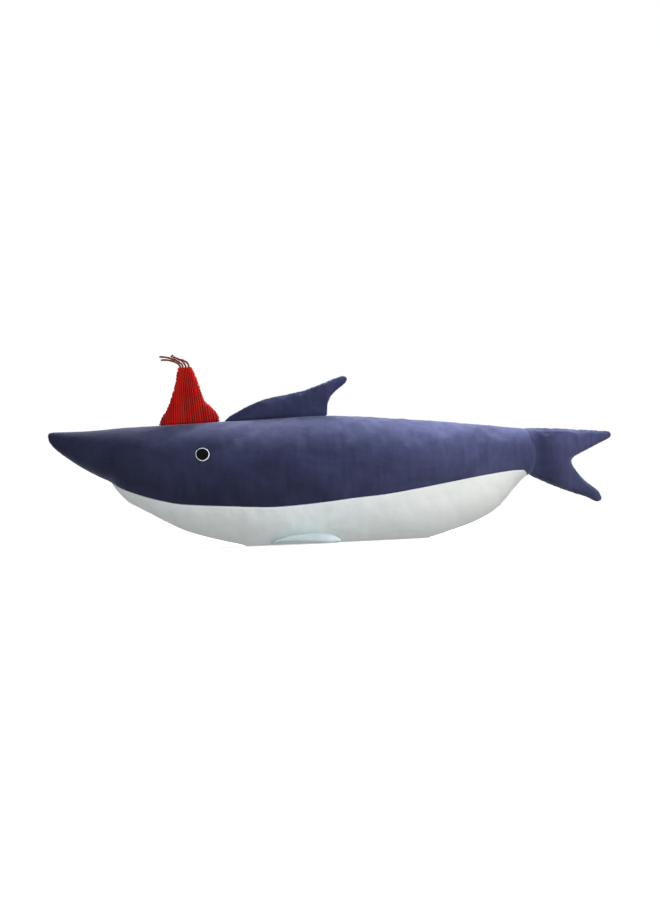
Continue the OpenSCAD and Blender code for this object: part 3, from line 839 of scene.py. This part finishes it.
for s, sname in ((-1, "left"), (1, "right")):
    g = dorsal + side_move(dorsal_field, dorsal, s)
    g = g + n_d * (0.45 * noise(dorsal, 26, 21 + s) * np.minimum(d_base / 8, 1) * np.minimum(d_edge / 8, 1))[..., None]
    g, s_d = soften(g, [(d_edge, al), (d_rear, al)], n_d, (1.4, 1.4), (0.5, 0.5), (0.45, 0.35), 3.0 + s)
    g[..., 1] = np.minimum(g[..., 1], -0.02)
    # painted shade along the fin's foot, where it meets the back
    s_d = np.maximum(s_d, np.clip(1 - d_base / 3.5, 0, 1) * attached)
    k = np.array([1.0, -s, 1.0])
    ob = make_outward(shell(f"dorsal_skin_{sname}", g * k, n_d * k, 0.9, navy, {"seam": s_d}))
    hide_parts(f"dorsal_panel_{sname}")
    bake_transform(ob)
core = inset_rows(dorsal, 3.5, 12, 0.66, 9.0)
core[..., 0] = -150 + (core[..., 0] + 150) * 0.87
core[..., 2] = ridge(core[..., 0]) + (core[..., 2] - ridge(core[..., 0])) * 0.78
stuffing("dorsal_stuffing", *pair_solid(core, core * mirror), "dorsal_filling", body_dorsal)

# ------------------------------------------------------------------ tail
TAIL = [
    [394.2, 158.6, 395.3, 156, 0.8], [392, 160.6, 394.4, 153, 2.6], [386, 161.4, 387.5, 148.2, 4.8],
    [376, 161.9, 377, 142.8, 6.8], [361, 162.7, 363, 135.4, 9], [342, 163.6, 350.5, 128.9, 11],
    [320, 164.9, 344, 125, 13.5], [298, 165.3, 341.5, 122.4, 15], [274, 164.6, 340.4, 120.8, 15],
    [271, 152, 340, 119.8, 15.2], [271, 138, 340, 119, 15.2], [272, 126, 340, 118, 15.2],
    [274, 114, 340.3, 116.5, 15], [276, 105, 341, 114.5, 14.6], [281, 99.6, 342, 112, 14],
    [301, 89.6, 345.5, 107, 13.2], [322, 81, 351, 99.8, 12], [343, 73.6, 359.5, 91, 10],
    [359, 68.8, 369.5, 83.6, 8.4], [368, 64.5, 377.3, 77, 6.8], [373.6, 62.1, 381, 70, 4.8],
    [377.5, 61.9, 381.9, 66, 2.4], [379.4, 62.8, 381.4, 64.4, 0.8]]
TA = np.array(TAIL, float)
midkey = np.concatenate([[0], np.cumsum(np.linalg.norm(np.diff((TA[:, :2] + TA[:, 2:4]) / 2, axis=0), axis=1)
                                        + 0.35 * np.linalg.norm(np.diff(TA[:, :2], axis=0), axis=1))])
tt = np.concatenate([midkey[:, None] / midkey[-1], TA], 1)
tu = clustered(170, 0.35)
fx, fz, rx, rz, T = [curve(tt, tu, c + 1)[:, None] for c in range(5)]
u = clustered(44, 0.9)[None, :]
root = np.clip((292 - fx) / 10, 0, 1)
root = root * root * (3 - 2 * root)
prof_r = np.sqrt(np.maximum(1 - u ** 2.2, 0)) * (0.86 + 0.14 * np.clip(u / 0.3, 0, 1))
prof_f = np.maximum(1 - (2 * u - 1) ** 2, 0) ** 0.5
tx, tz = fx + (rx - fx) * u, fz + (rz - fz) * u
# The two panels belly out like a membrane held at their edges; at the root they carry on from the body's
# end, flush with it near the top and in a fold lower down.
run = np.hypot(tx - fx, tz - fz)
back = run[:, -1:] - run
STEP = 1.25
gx, gz = np.arange(262, 402, STEP), np.arange(54, 172, STEP)
GX, GZ = np.meshgrid(gx, gz, indexing="ij")
ring = np.concatenate([np.stack([fx, fz], -1)[:, 0], np.stack([rx, rz], -1)[::-1, 0]])
inside = np.zeros(GX.shape, bool)
for p, q in zip(ring, np.roll(ring, -1, 0)):
    cross = (p[1] > GZ) != (q[1] > GZ)
    if cross.any():
        with np.errstate(divide="ignore", invalid="ignore"):
            inside ^= cross & (GX < (q[0] - p[0]) * (GZ - p[1]) / (q[1] - p[1]) + p[0])
wide = inside.copy()
for ax in (0, 1):
    wide |= np.roll(inside, 1, ax) | np.roll(inside, -1, ax)
mid_e, half_e, wide_e = section(279.0)


def end_section(z):
    rise = (z - mid_e) / np.where(z > mid_e, half_e + 3.6, half_e)
    n_e = np.where(rise > 0, 2.05, 2.15)
    near_top = np.clip((z - 137) / 14, 0, 1)
    near_top = near_top * near_top * (3 - 2 * near_top)
    return (wide_e * np.maximum(1 - np.minimum(np.abs(rise), 1) ** n_e, 0) ** (1 / n_e)
            * (0.60 + 0.37 * near_top))


given = GX < 282.5
phi = np.where(given, end_section(GZ) ** 2, 0.0)
for _ in range(1500):
    avg = (np.roll(phi, 1, 0) + np.roll(phi, -1, 0) + np.roll(phi, 1, 1) + np.roll(phi, -1, 1)) / 4
    phi = np.where(given, phi, np.where(wide, avg + 0.62 * STEP * STEP / 4, 0.0))
half_t = np.sqrt(np.maximum(phi, 0))


def look_up(x, z):
    i = np.clip((x - gx[0]) / STEP, 0, len(gx) - 1.001)
    j = np.clip((z - gz[0]) / STEP, 0, len(gz) - 1.001)
    i0, j0 = i.astype(int), j.astype(int)
    u_, v_ = i - i0, j - j0
    return ((half_t[i0, j0] * (1 - u_) + half_t[i0 + 1, j0] * u_) * (1 - v_)
            + (half_t[i0, j0 + 1] * (1 - u_) + half_t[i0 + 1, j0 + 1] * u_) * v_)


tip_d = np.minimum(arc(np.stack([fx, 0 * fx, fz], -1), 0), (lambda w: w[-1:] - w)(arc(np.stack([fx, 0 * fx, fz], -1), 0)))
attach_t = root * np.clip((164.0 - fz) / 4, 0, 1) * np.clip((fz - 101.0) / 4, 0, 1)
front_close = 1 - (1 - rounded(run, 7.0)) * (1 - attach_t)
y = look_up(tx, tz) * rounded(back, 7.0) * front_close * rounded(tip_d + 0.3, 7.0)
tail = np.stack([tx, -y, tz], -1)
n_t = grid_normals(tail, np.stack([0 * tx, -np.ones_like(tx), 0 * tz], -1))
d_f = arc(tail, 1)
d_r = d_f[:, -1:] - d_f
al = arc(tail, 0)[:, 22][:, None] + 0 * d_f
def crease(g, n, a, b, width, depth):
    """A soft wrinkle along the line from a to b (x, z), pressed in, with a low swelling beside it."""
    a, b = np.array(a, float), np.array(b, float)
    p = g[..., [0, 2]]
    ab = b - a
    s = np.clip(((p - a) @ ab) / (ab @ ab), 0, 1)
    d = np.linalg.norm(p - a - s[..., None] * ab, axis=-1)
    fade = np.sin(np.pi * np.clip(s * 0.92 + 0.04, 0, 1)) ** 0.7
    h = depth * fade * (-np.exp(-(d / width) ** 2) + 0.55 * np.exp(-((d - 2.1 * width) / (1.1 * width)) ** 2))
    return g + n * h[..., None]


t_out = np.concatenate([tail[:, -1], np.where((root < 0.3) + 0 * tail[:, :1, 0] > 0, 1.0, 0.0)[..., None][:, 0] * tail[:, 0]
                        + np.where((root < 0.3) + 0 * tail[:, :1, 0] > 0, 0.0, 1.0)[..., None][:, 0] * tail[:, -1]]) * [1, 0, 1]
hold_t = near_lines([t_out], 4.0)
root_t = lambda q: np.clip(1 - (q[:, 0] - 282) / 10.0, 0, 1)
tail_field = sewn_cushion(*pair_solid(tail, tail * mirror), 4.0, lambda q: np.maximum(hold_t(q), root_t(q)), 0.02, 2.2)
d_front = np.where(root + 0 * d_f < 0.3, d_f, 60.0)
body_tail = ("body", "tail", tuple(rest([284, 0, 131])), tuple(rest([312, 0, 131])))
for s, sname in ((-1, "left"), (1, "right")):
    g = tail + side_move(tail_field, tail, s)
    g = g + n_t * (0.5 * noise(tail, 24, 31 + s) * np.minimum(d_f / 8, 1) * np.minimum(d_r / 8, 1))[..., None]
    for a, b, w, dp in (((300, 158), (316, 142), 3.4, 0.55), ((354, 157), (349, 139), 2.8, 0.5),
                        ((366, 157), (360, 142), 2.4, 0.4), ((300, 102), (322, 99), 2.8, 0.4)):
        g = crease(g, n_t, (a[0] + 2 * s, a[1]), (b[0] - 2 * s, b[1]), w, dp)
    g, s_t = soften(g, [(d_r, al), (d_front, al)], n_t, (1.4, 1.4), (0.5, 0.5), (0.5, 0.45), 5.0 + s)
    g[..., 1] = np.minimum(g[..., 1], -0.02)
    k = np.array([1.0, -s, 1.0])
    ob = make_outward(shell(f"tail_skin_{sname}", g * k, n_t * k, 0.9, navy, {"seam": s_t}))
    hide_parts(f"tail_panel_{sname}")
    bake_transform(ob)
core = inset_rows(tail, 8.0, 12, 0.58, 14.0)
stuffing("tail_stuffing", *pair_solid(core, core * mirror), "tail_filling", body_tail)

# ------------------------------------------------------------------ pectoral fins (drawn at rest, like the CAD)
PECTORAL = [
    [37, -84, -22, 4.4, 2.6], [44, -86, -19, 4.8, 3.0], [50.5, -87, -17, 5.6, 3.6], [54, -87.5, -16.5, 6.6, 3.9], [58, -86, -16, 8.4, 4.2], [64, -82, -11.5, 11.0, 4.8],
    [74, -72, -5.5, 13.8, 5.3], [86, -58, -0.5, 14.8, 5.4], [98, -42, 4, 13.8, 5.1], [107.5, -27, 7, 11.6, 4.5],
    [114.5, -14.5, 8.8, 8.4, 3.7], [118, -6, 8.6, 5.6, 3.0], [119.3, -1, 7.0, 3.6, 2.5]]
PT = np.array(PECTORAL, float)
pk = np.concatenate([[0], np.cumsum(np.linalg.norm(np.diff(PT[:, :3], axis=0), axis=1))])
pt = np.concatenate([pk[:, None] / pk[-1], PT], 1)
pu = clustered(90, 0.3)
py, pf, pr, ptop, pseam = [curve(pt, pu, c + 1)[:, None] for c in range(5)]
u = clustered(48, 0.9)[None, :]
px = pf + (pr - pf) * u
arch = np.maximum(1 - np.abs(2 * u - 1) ** 2.2, 0) ** 0.62


for s, sname in ((-1, "left"), (1, "right")):
    hinge = ("body", f"pectoral_{sname}", (-0.05, s * 0.0525, 0.006), (-0.05, s * 0.066, 0.006))
    plain = [np.stack([px, s * py + 0 * px, pseam + np.where(face > 0, ptop - pseam, -(pseam - 0.75)) * arch], -1)
             for face in (1, -1)]
    edge_pts = unrest(np.concatenate([plain[0][:, 0], plain[0][:, -1], plain[0][-1]]))
    hold_p = near_lines([edge_pts], 3.5)
    low_p = lambda q: np.maximum(np.clip(1 - (q[:, 2] - ground(q[:, 0]) - 1.5) / 3.0, 0, 1),
                                 np.clip(1 - (np.abs(q[:, 1]) - 58) / 8.0, 0, 1))
    pec_field = sewn_cushion(*pair_solid(unrest(plain[0]), unrest(plain[1])), 3.0,
                             lambda q: np.maximum(hold_p(q), low_p(q)), 0.015, 1.0)
    for face, fname in ((1, "upper"), (-1, "lower")):
        g = plain[0 if face > 0 else 1]
        n = grid_normals(g, np.stack([0 * px, 0 * px, face + 0 * px], -1))
        d1 = arc(g, 1)
        d2 = d1[:, -1:] - d1
        tip = arc(g, 0)[-1:] - arc(g, 0)
        al = arc(g, 0)[:, 20][:, None] + 0 * d1
        if face > 0:
            lv = pec_field(unrest(g))
            g = g + np.stack([lv[..., 0], lv[..., 1], np.maximum(lv[..., 2], -0.5)], -1)
        g = g + n * ((0.4 if face > 0 else 0.0) * noise(g, 22, 41) * np.minimum(d1 / 8, 1) * np.minimum(d2 / 8, 1))[..., None]
        d3 = np.minimum(tip, 60)
        g, sm = soften(g, [(d1, al), (d2, al), (d3, d1)], n, (1.5,) * 3, (0.5,) * 3,
                       ((0.4,) * 3 if face > 0 else (0.15,) * 3), 7.0)
        g[..., 2] = np.maximum(g[..., 2], 0.35)
        ob = make_outward(shell(f"pectoral_skin_{sname}_{fname}", unrest(g), unrest(g + n) - unrest(g), 0.7, fin_pale,
                                {"seam": sm}))
        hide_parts(f"pectoral_{sname}_{fname}")
        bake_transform(ob)
    c_hi, c_lo = plain[0][2:-3:3, 3:-3:3].copy(), plain[1][2:-3:3, 3:-3:3].copy()
    mid_z = (c_hi[..., 2] + c_lo[..., 2]) / 2
    for c in (c_hi, c_lo):
        c[..., 2] = mid_z + (c[..., 2] - mid_z) * 0.62
    stuffing(f"pectoral_stuffing_{sname}", *pair_solid(unrest(c_hi), unrest(c_lo)), f"pectoral_{sname}_filling", hinge)

# ------------------------------------------------------------------ eyes
def on_skin(cx, ca, offs):
    """Points on the body's surface near an eye: offs are distances along and round the body, millimetres."""
    e = 0.5
    p0 = skin(cx, ca)
    ta = skin(cx + e, ca) - skin(cx - e, ca)
    tb_ = skin(cx, ca + e) - skin(cx, ca - e)
    la, lb = np.linalg.norm(ta) / (2 * e), np.linalg.norm(tb_) / (2 * e)
    x = cx + offs[..., 0] / la
    a = ca + offs[..., 1] / lb
    p = skin(x, a)
    h = 0.4
    n = np.cross(skin(x + h, a) - skin(x - h, a), skin(x, a + h) - skin(x, a - h))
    n /= np.linalg.norm(n, axis=-1, keepdims=True)
    if n[..., 1].mean() > 0:
        n = -n
    return p, n


def felt_disc(name, radius, base, thick, mat, s, node_name, seed):
    rings, spokes = 26, 128
    th = np.linspace(0, 2 * np.pi, spokes, endpoint=False)
    # top from the centre out, over the rounded rim, and back under
    prof = [(r, thick) for r in radius * (1 - 0.9 / radius) * np.linspace(0, 1, rings) ** 0.8]
    prof += [(radius - 0.9 + 0.9 * math.sin(q), thick - 0.45 + 0.45 * math.cos(q)) for q in np.linspace(0.2, math.pi, 9)]
    prof += [(radius * 0.6, 0.0), (radius * 0.02, 0.0)]
    P = np.array(prof)
    wob = 1 + 0.006 * np.sin(3 * th + seed) + 0.005 * np.sin(7 * th + 2 * seed) + 0.003 * np.sin(29 * th)
    r = P[:, :1] * wob[None, :]
    offs = np.stack([r * np.cos(th), r * np.sin(th)], -1)
    p, n = on_skin(EYE_X, EYE_A, offs)
    lift = base + P[:, 1:2] + 0.05 * np.sin(th * 16)[None, :] * (P[:, :1] > radius * 0.8) + 0 * th[None, :]
    dome = 0.25 * (1 - (P[:, :1] / radius) ** 2) * (P[:, 1:2] > 0.2)
    g = p + n * (lift + dome)[..., None]
    if s > 0:
        g = g * mirror
    c = spokes
    verts = rest(g.reshape(-1, 3))
    faces = grid_faces(len(P), c, 0, flip=(s > 0), wrap=True).tolist()
    faces.append(list(range(c))[::-1] if s < 0 else list(range(c)))
    last = (len(P) - 1) * c
    faces.append(list(range(last, last + c)) if s < 0 else list(range(last, last + c))[::-1])
    ob = new_object(name, verts, [], mat)
    bpy.data.objects.remove(ob)
    me = bpy.data.meshes.new(name)
    me.from_pydata([tuple(v) for v in verts], [], [tuple(f) for f in faces])
    me.validate()
    me.shade_smooth()
    me.materials.append(mat)
    ob = bpy.data.objects.new(name, me)
    bpy.context.scene.collection.objects.link(ob)
    make_outward(ob)
    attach(ob, "body")
    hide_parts(node_name)
    return ob


for s, sname in ((-1, "left"), (1, "right")):
    ob = felt_disc(f"eye_felt_white_{sname}", 9.8, -0.75, 1.5, white_felt, s, f"eye_white_{sname}", 1.0)
    ob = felt_disc(f"eye_felt_black_{sname}", 8.6, 0.75, 1.0, black_felt, s, f"eye_black_{sname}", 2.0)

# ------------------------------------------------------------------ hat
HAT_H = 79.0
HAT = np.array([  # height above the ridge, left x, right x, half thickness
    [-1.2, -237.0, -154.4, 12.6], [1, -237.2, -154.0, 13.0], [4, -236.6, -154.0, 13.2], [8, -235.4, -155.2, 13.2],
    [13, -232.4, -158.4, 13.0], [18, -228.6, -162.6, 12.8], [23, -226.4, -167.4, 12.6], [29, -223.6, -173.6, 12.4],
    [34, -222, -176.2, 12.0], [42, -219, -179.4, 11.4], [52, -216, -182.4, 10.2], [62, -214.2, -186.0, 8.8],
    [70, -213, -189.4, 7.6], [76, -211.8, -192.0, 6.4], [79, -211.0, -193.6, 5.2]], float)
NR, NC = 232, 208
hu = np.linspace(HAT[0, 0], HAT[-1, 0], NR)
xl, xr, T = [curve(HAT, hu, c)[:, None] for c in (1, 2, 3)]
v = np.linspace(-1, 1, NC)[None, :]
cx, half = (xl + xr) / 2, (xr - xl) / 2
hx = cx + half * v
hz = ridge(hx) + hu[:, None]
yy = T * np.maximum(1 - np.abs(v) ** 2.4, 0) ** 0.55
base = np.stack([hx, -yy, hz], -1)
# the foot of the hat follows the back
foot = np.clip(1 - (hu[:, None] + 1.2) / 12, 0, 1)
base[..., 2] -= (ridge(hx) - skin_height(hx, yy)) * foot
n_h = grid_normals(base, np.stack([0 * hx, -np.ones_like(hx), 0 * hz], -1))
# ribs fan out from the top: position of a point counted in ribs from the hat's middle line
pitch = np.interp(hu, [0, 20, 40, 79], [3.35, 3.15, 2.8, 2.2])[:, None]
mid_line = np.interp(hu, [0, 30, 79], [-197.0, -199.5, -203.0])[:, None]
ribs = (hx - mid_line) / pitch + 0.14 * noise(base, 30, 51)
rows_v = hu[:, None] / 3.3 + 0.2 * noise(base, 18, 52)
fr = ribs - np.floor(ribs)
wale = np.abs(2 * fr - 1)               # 1 at the groove, 0 on the crest
crest = np.maximum(1 - wale ** 1.7, 0)
each = hash3(np.floor(ribs).astype(np.int64), 0 * np.floor(ribs).astype(np.int64), 7 + 0 * np.floor(ribs).astype(np.int64), 3)
# two legs of each stitch lean into a V on either side of the crest
lean = rows_v - 0.55 * (0.5 - np.abs(fr - 0.5)) * 2 * 0.9
fs = lean - np.floor(lean)
loop = np.sqrt(np.maximum(1 - (2 * fs - 1) ** 2, 0))
split = 1 - 0.25 * np.exp(-((fr - 0.5) / 0.08) ** 2)
height = (0.04 + 0.96 * crest) * (0.78 + 0.22 * loop) * split
# painted shade for the knit: darker down each groove, less towards the hat's sides and its top, and a little different
# from rib to rib at random
tone = np.clip(height * (0.88 + 0.20 * each) * (0.82 + 0.26 * np.clip(np.abs(v) * 1.3, 0, 1))
               * (1 + 0.25 * np.clip((hu[:, None] - 40) / 39, 0, 1)), 0, 1)
edge_fade = np.clip((1 - np.abs(v)) / 0.02, 0, 1)
hem = np.exp(-((hu[:, None] - 0.6) / 1.1) ** 2)
body_hat = ("body", "hat", tuple(rest([-195, 0, 171.5])), tuple(rest([-195, 0, 187])))
for s, sname in ((-1, "left"), (1, "right")):
    g = base + n_h * ((1.7 + 0.7 * np.abs(v)) * height * edge_fade - 1.1)[..., None]
    g = g + n_h * ((0.7 * noise(base, 24, 53 + s) + 0.3 * noise(base, 11, 57 + s)) * edge_fade)[..., None]
    g = g - n_h * (0.9 * hem)[..., None]
    g[..., 1] = np.minimum(g[..., 1], -0.05)
    # a slightly uneven side edge
    g[..., 0] += (0.3 * np.sin(2 * np.pi * hu / 3.8)[:, None] * np.exp(-((1 - np.abs(v)) / 0.03) ** 2) * np.sign(v))
    k = np.array([1.0, -s, 1.0])
    ob = make_outward(shell(f"hat_knit_{sname}", g * k, n_h * k, 1.2, red_knit, {"rib_groove_shade": tone}))
    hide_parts(f"hat_panel_{sname}")
    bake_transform(ob)
core = base.copy()[14:-8:7, 20:-20:8]
core[..., 1] = np.minimum(core[..., 1] * 0.6, -0.1)
stuffing("hat_stuffing", *pair_solid(core, core * mirror), "hat_filling", body_hat)


def tube_mesh(path, radius, sides=10, plies=0, twist=0.0, depth=0.25):
    """Rings along a path (level drawing, millimetres); with plies it is a twisted cord."""
    P = np.asarray(path, float)
    t = np.gradient(P, axis=0)
    t /= np.linalg.norm(t, axis=1, keepdims=True)
    up = np.array([0.0, 1.0, 0.0])
    a = np.cross(t, up)
    l = np.linalg.norm(a, axis=1, keepdims=True)
    a = np.where(l > 1e-6, a / np.maximum(l, 1e-9), np.array([1.0, 0, 0]))
    b = np.cross(t, a)
    s = np.concatenate([[0], np.cumsum(np.linalg.norm(np.diff(P, axis=0), axis=1))])
    th = np.linspace(0, 2 * np.pi, sides, endpoint=False)
    R = np.asarray(radius) * np.ones(len(P))
    rr = R[:, None] * np.ones((1, sides))
    if plies:
        ph = plies * (th[None, :] - s[:, None] * twist)
        rr = rr * (1 - depth + depth * np.abs(np.cos(ph / 2)) ** 0.8)
    ring = P[:, None] + rr[..., None] * (np.cos(th)[None, :, None] * a[:, None] + np.sin(th)[None, :, None] * b[:, None])
    return ring


def closed_tube(name, ring, mat, flip=False):
    r, c = ring.shape[:2]
    verts = rest(ring.reshape(-1, 3))
    faces = [tuple(f) for f in grid_faces(r, c, 0, flip, wrap=True).tolist()]
    a, b = tuple(range(c)), tuple(range((r - 1) * c, r * c))
    faces.append(a[::-1] if not flip else a)
    faces.append(b if not flip else b[::-1])
    me = bpy.data.meshes.new(name)
    me.from_pydata([tuple(v) for v in verts], [], faces)
    me.validate()
    me.shade_smooth()
    me.materials.append(mat)
    ob = bpy.data.objects.new(name, me)
    bpy.context.scene.collection.objects.link(ob)
    return ob


def smooth_path(p, per):
    p = [np.array(q, float) for q in p]
    n = len(p) - 1
    out = []
    for i in range(n):
        a, b, c, e = p[max(i - 1, 0)], p[i], p[i + 1], p[min(i + 2, n)]
        for u in np.arange(per) / per:
            out.append(b + (c - a) * u / 2 + (2 * a - 5 * b + 4 * c - e) * u * u / 2 + (3 * b - a - 3 * c + e) * u ** 3 / 2)
    out.append(p[-1])
    return np.array(out)


# whip stitches that close each side of the hat
for sgn, sname in ((-1, "front"), (1, "rear")):
    s = np.linspace(0, 1, 900)
    h = HAT[1, 0] + (HAT[-1, 0] - 1 - HAT[1, 0]) * s
    ex = curve(HAT, h, 1 if sgn < 0 else 2)
    turns = 76.0 / 4.4
    ph = 2 * np.pi * turns * s
    uneven = 1 + 0.35 * np.sin(ph * 0.37 + 1.0) + 0.2 * np.sin(ph * 0.83)
    path = np.stack([ex - sgn * 0.9 + sgn * 0.8 * uneven * np.cos(ph), 2.6 * np.sin(ph),
                     ridge(ex) + h + 1.1 * np.sin(ph / 2 + 0.4) ** 2], -1)
    ob = make_outward(closed_tube(f"hat_side_stitch_{sname}", tube_mesh(path, 0.8, 8), red_knit))
    # the stitches get an even painted shade, as partway down a groove
    put_attribute(ob, "rib_groove_shade", np.full(len(ob.data.vertices), 0.36))
    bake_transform(ob)

# ------------------------------------------------------------------ strands
STRANDS = [
    [[-205, -1, 250.5], [-206.5, -1, 254.5], [-212, -1.5, 258.6], [-220, -2, 261.8], [-229, -2, 264.2], [-238, -2, 264.7]],
    [[-208.6, 1.5, 250], [-210.4, 1.5, 254], [-215.6, 1.5, 257.4], [-224, 2, 260], [-230, 2, 260.5], [-236, 2, 260.4]],
    [[-201, 2, 251], [-203.4, 2.5, 256], [-207.2, 4, 260], [-213, 5, 262.4], [-217, 5, 264.8], [-221, 5, 267.8]],
    [[-196.6, -1, 251.2], [-198, -2, 255.2], [-201.6, -4, 258.6], [-208, -5, 260.8], [-215, -5.5, 263], [-222, -5.5, 265.4]]]
for k, pts in enumerate(STRANDS):
    inside = [[-203 + 0.5 * (pts[0][0] + 203), 0, 240.5], [-203 + 0.8 * (pts[0][0] + 203), pts[0][1] * 0.6, 245.5]]
    path = smooth_path(inside + pts, 14)
    s = np.concatenate([[0], np.cumsum(np.linalg.norm(np.diff(path, axis=0), axis=1))])
    r = np.full(len(path), 1.48)
    r[-5:] = 1.48 * np.sqrt(np.linspace(0.95, 0.3, 5))
    r[:3] = (0.7, 1.0, 1.15)
    ob = make_outward(closed_tube(f"hat_tuft_strand_{k + 1}", tube_mesh(path, r, 16, plies=2, twist=0.35, depth=0.10),
                                  strand_mat))
    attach(ob, "hat")
    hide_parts(f"hat_strand_{k + 1}")

# ------------------------------------------------------------------ stage and light
floor_mat, nt, bs = new_material("floor")
bs.inputs["Base Color"].default_value = (0.90, 0.90, 0.90, 1)
bs.inputs["Roughness"].default_value = 0.95
bs.inputs["Specular IOR Level"].default_value = 0.0
# the floor glows, painted light: weaker near the toy so its shadow shows, and white further out
bs.inputs["Emission Color"].default_value = (1, 1, 1, 1)
tco = nt.nodes.new("ShaderNodeTexCoord")
far = nt.nodes.new("ShaderNodeVectorMath")
far.operation = "LENGTH"
nt.links.new(tco.outputs["Object"], far.inputs[0])
lift = nt.nodes.new("ShaderNodeMapRange")
lift.interpolation_type = "SMOOTHSTEP"
lift.inputs["From Min"].default_value = 0.7
lift.inputs["From Max"].default_value = 2.6
lift.inputs["To Min"].default_value = 0.46
lift.inputs["To Max"].default_value = 1.0
nt.links.new(far.outputs["Value"], lift.inputs["Value"])
nt.links.new(lift.outputs["Result"], bs.inputs["Emission Strength"])
me = bpy.data.meshes.new("floor")
me.from_pydata([(-11, -11, 0), (11, -11, 0), (11, 11, 0), (-11, 11, 0)], [], [(0, 1, 2, 3)])
me.materials.append(floor_mat)
floor = bpy.data.objects.new("floor", me)
floor.location.z = -0.0003
bpy.context.scene.collection.objects.link(floor)
floor.visible_diffuse = False

dome_mat = bpy.data.materials.new("backdrop")
dome_mat.use_nodes = True
nt = dome_mat.node_tree
nt.nodes.clear()
em = nt.nodes.new("ShaderNodeEmission")
em.inputs["Color"].default_value = (1, 1, 1, 1)
em.inputs["Strength"].default_value = 1.0
om = nt.nodes.new("ShaderNodeOutputMaterial")
nt.links.new(em.outputs[0], om.inputs["Surface"])
th = np.linspace(0, 2 * np.pi, 64, endpoint=False)
el = np.radians(np.linspace(-20, 88, 14))
R = 10.5
dv = np.array([[R * math.cos(e) * math.cos(q), R * math.cos(e) * math.sin(q), R * math.sin(e)] for e in el for q in th])
dome = new_object("backdrop", dv, grid_faces(14, 64, 0, True, wrap=True), dome_mat)
for flag in ("visible_diffuse", "visible_glossy", "visible_transmission", "visible_volume_scatter", "visible_shadow"):
    setattr(dome, flag, False)

world = bpy.data.worlds.new("world")
bpy.context.scene.world = world
world.use_nodes = True
nt = world.node_tree
nt.nodes.clear()
wo = nt.nodes.new("ShaderNodeOutputWorld")
bg = nt.nodes.new("ShaderNodeBackground")
tc = nt.nodes.new("ShaderNodeTexCoord")
mp = nt.nodes.new("ShaderNodeMapping")
mp.inputs["Rotation"].default_value = (0, 0, 0)
sep = nt.nodes.new("ShaderNodeSeparateXYZ")
nt.links.new(tc.outputs["Generated"], sep.inputs[0])


def wmath(op, a, b, clamp=False):
    q = nt.nodes.new("ShaderNodeMath")
    q.operation = op
    q.use_clamp = clamp
    for s_, v_ in zip(q.inputs, (a, b)):
        if hasattr(v_, "is_linked"):
            nt.links.new(v_, s_)
        else:
            s_.default_value = v_
    return q.outputs[0]


sky = wmath("ADD", wmath("MULTIPLY", sep.outputs["X"], 0.30), wmath("MULTIPLY", sep.outputs["Z"], 0.30))
sky = wmath("ADD", sky, 0.50, True)
cr = nt.nodes.new("ShaderNodeValToRGB")
cr.color_ramp.elements[0].position = 0.0
cr.color_ramp.elements[0].color = (0.42, 0.43, 0.42, 1)
cr.color_ramp.elements[1].position = 1.0
cr.color_ramp.elements[1].color = (0.80, 0.81, 0.85, 1)
nt.links.new(sky, cr.inputs["Fac"])
nt.links.new(cr.outputs["Color"], bg.inputs["Color"])
bg.inputs["Strength"].default_value = 0.8
nt.links.new(bg.outputs[0], wo.inputs["Surface"])


def area(name, at, to, size, power, color=(1, 1, 1)):
    d = bpy.data.lights.new(name, "AREA")
    d.shape = "RECTANGLE"
    d.size, d.size_y = size
    d.energy = power
    d.color = color
    o = bpy.data.objects.new(name, d)
    o.location = at
    o.rotation_euler = (Vector(to) - Vector(at)).to_track_quat("-Z", "Y").to_euler()
    bpy.context.scene.collection.objects.link(o)
    return o


area("key", (1.1, -1.1, 1.2), (0.10, 0, 0.08), (0.9, 0.7), 11)
area("top", (0.32, 0.50, 1.15), (0.14, 0, 0.14), (0.9, 0.4), 30, (0.96, 0.97, 1.0))
area("top_nose", (-0.25, 0.45, 1.3), (-0.2, 0, 0.14), (0.9, 0.4), 4, (0.96, 0.97, 1.0))
area("front", (0.5, -2.2, 0.3), (0.0, 0, 0.05), (2.0, 0.5), 12)

bpy.context.scene.view_settings.view_transform = "Standard"
bpy.context.scene.view_settings.look = "None"
bpy.context.scene.view_settings.exposure = 0.0
bpy.context.scene.view_settings.gamma = 1.0
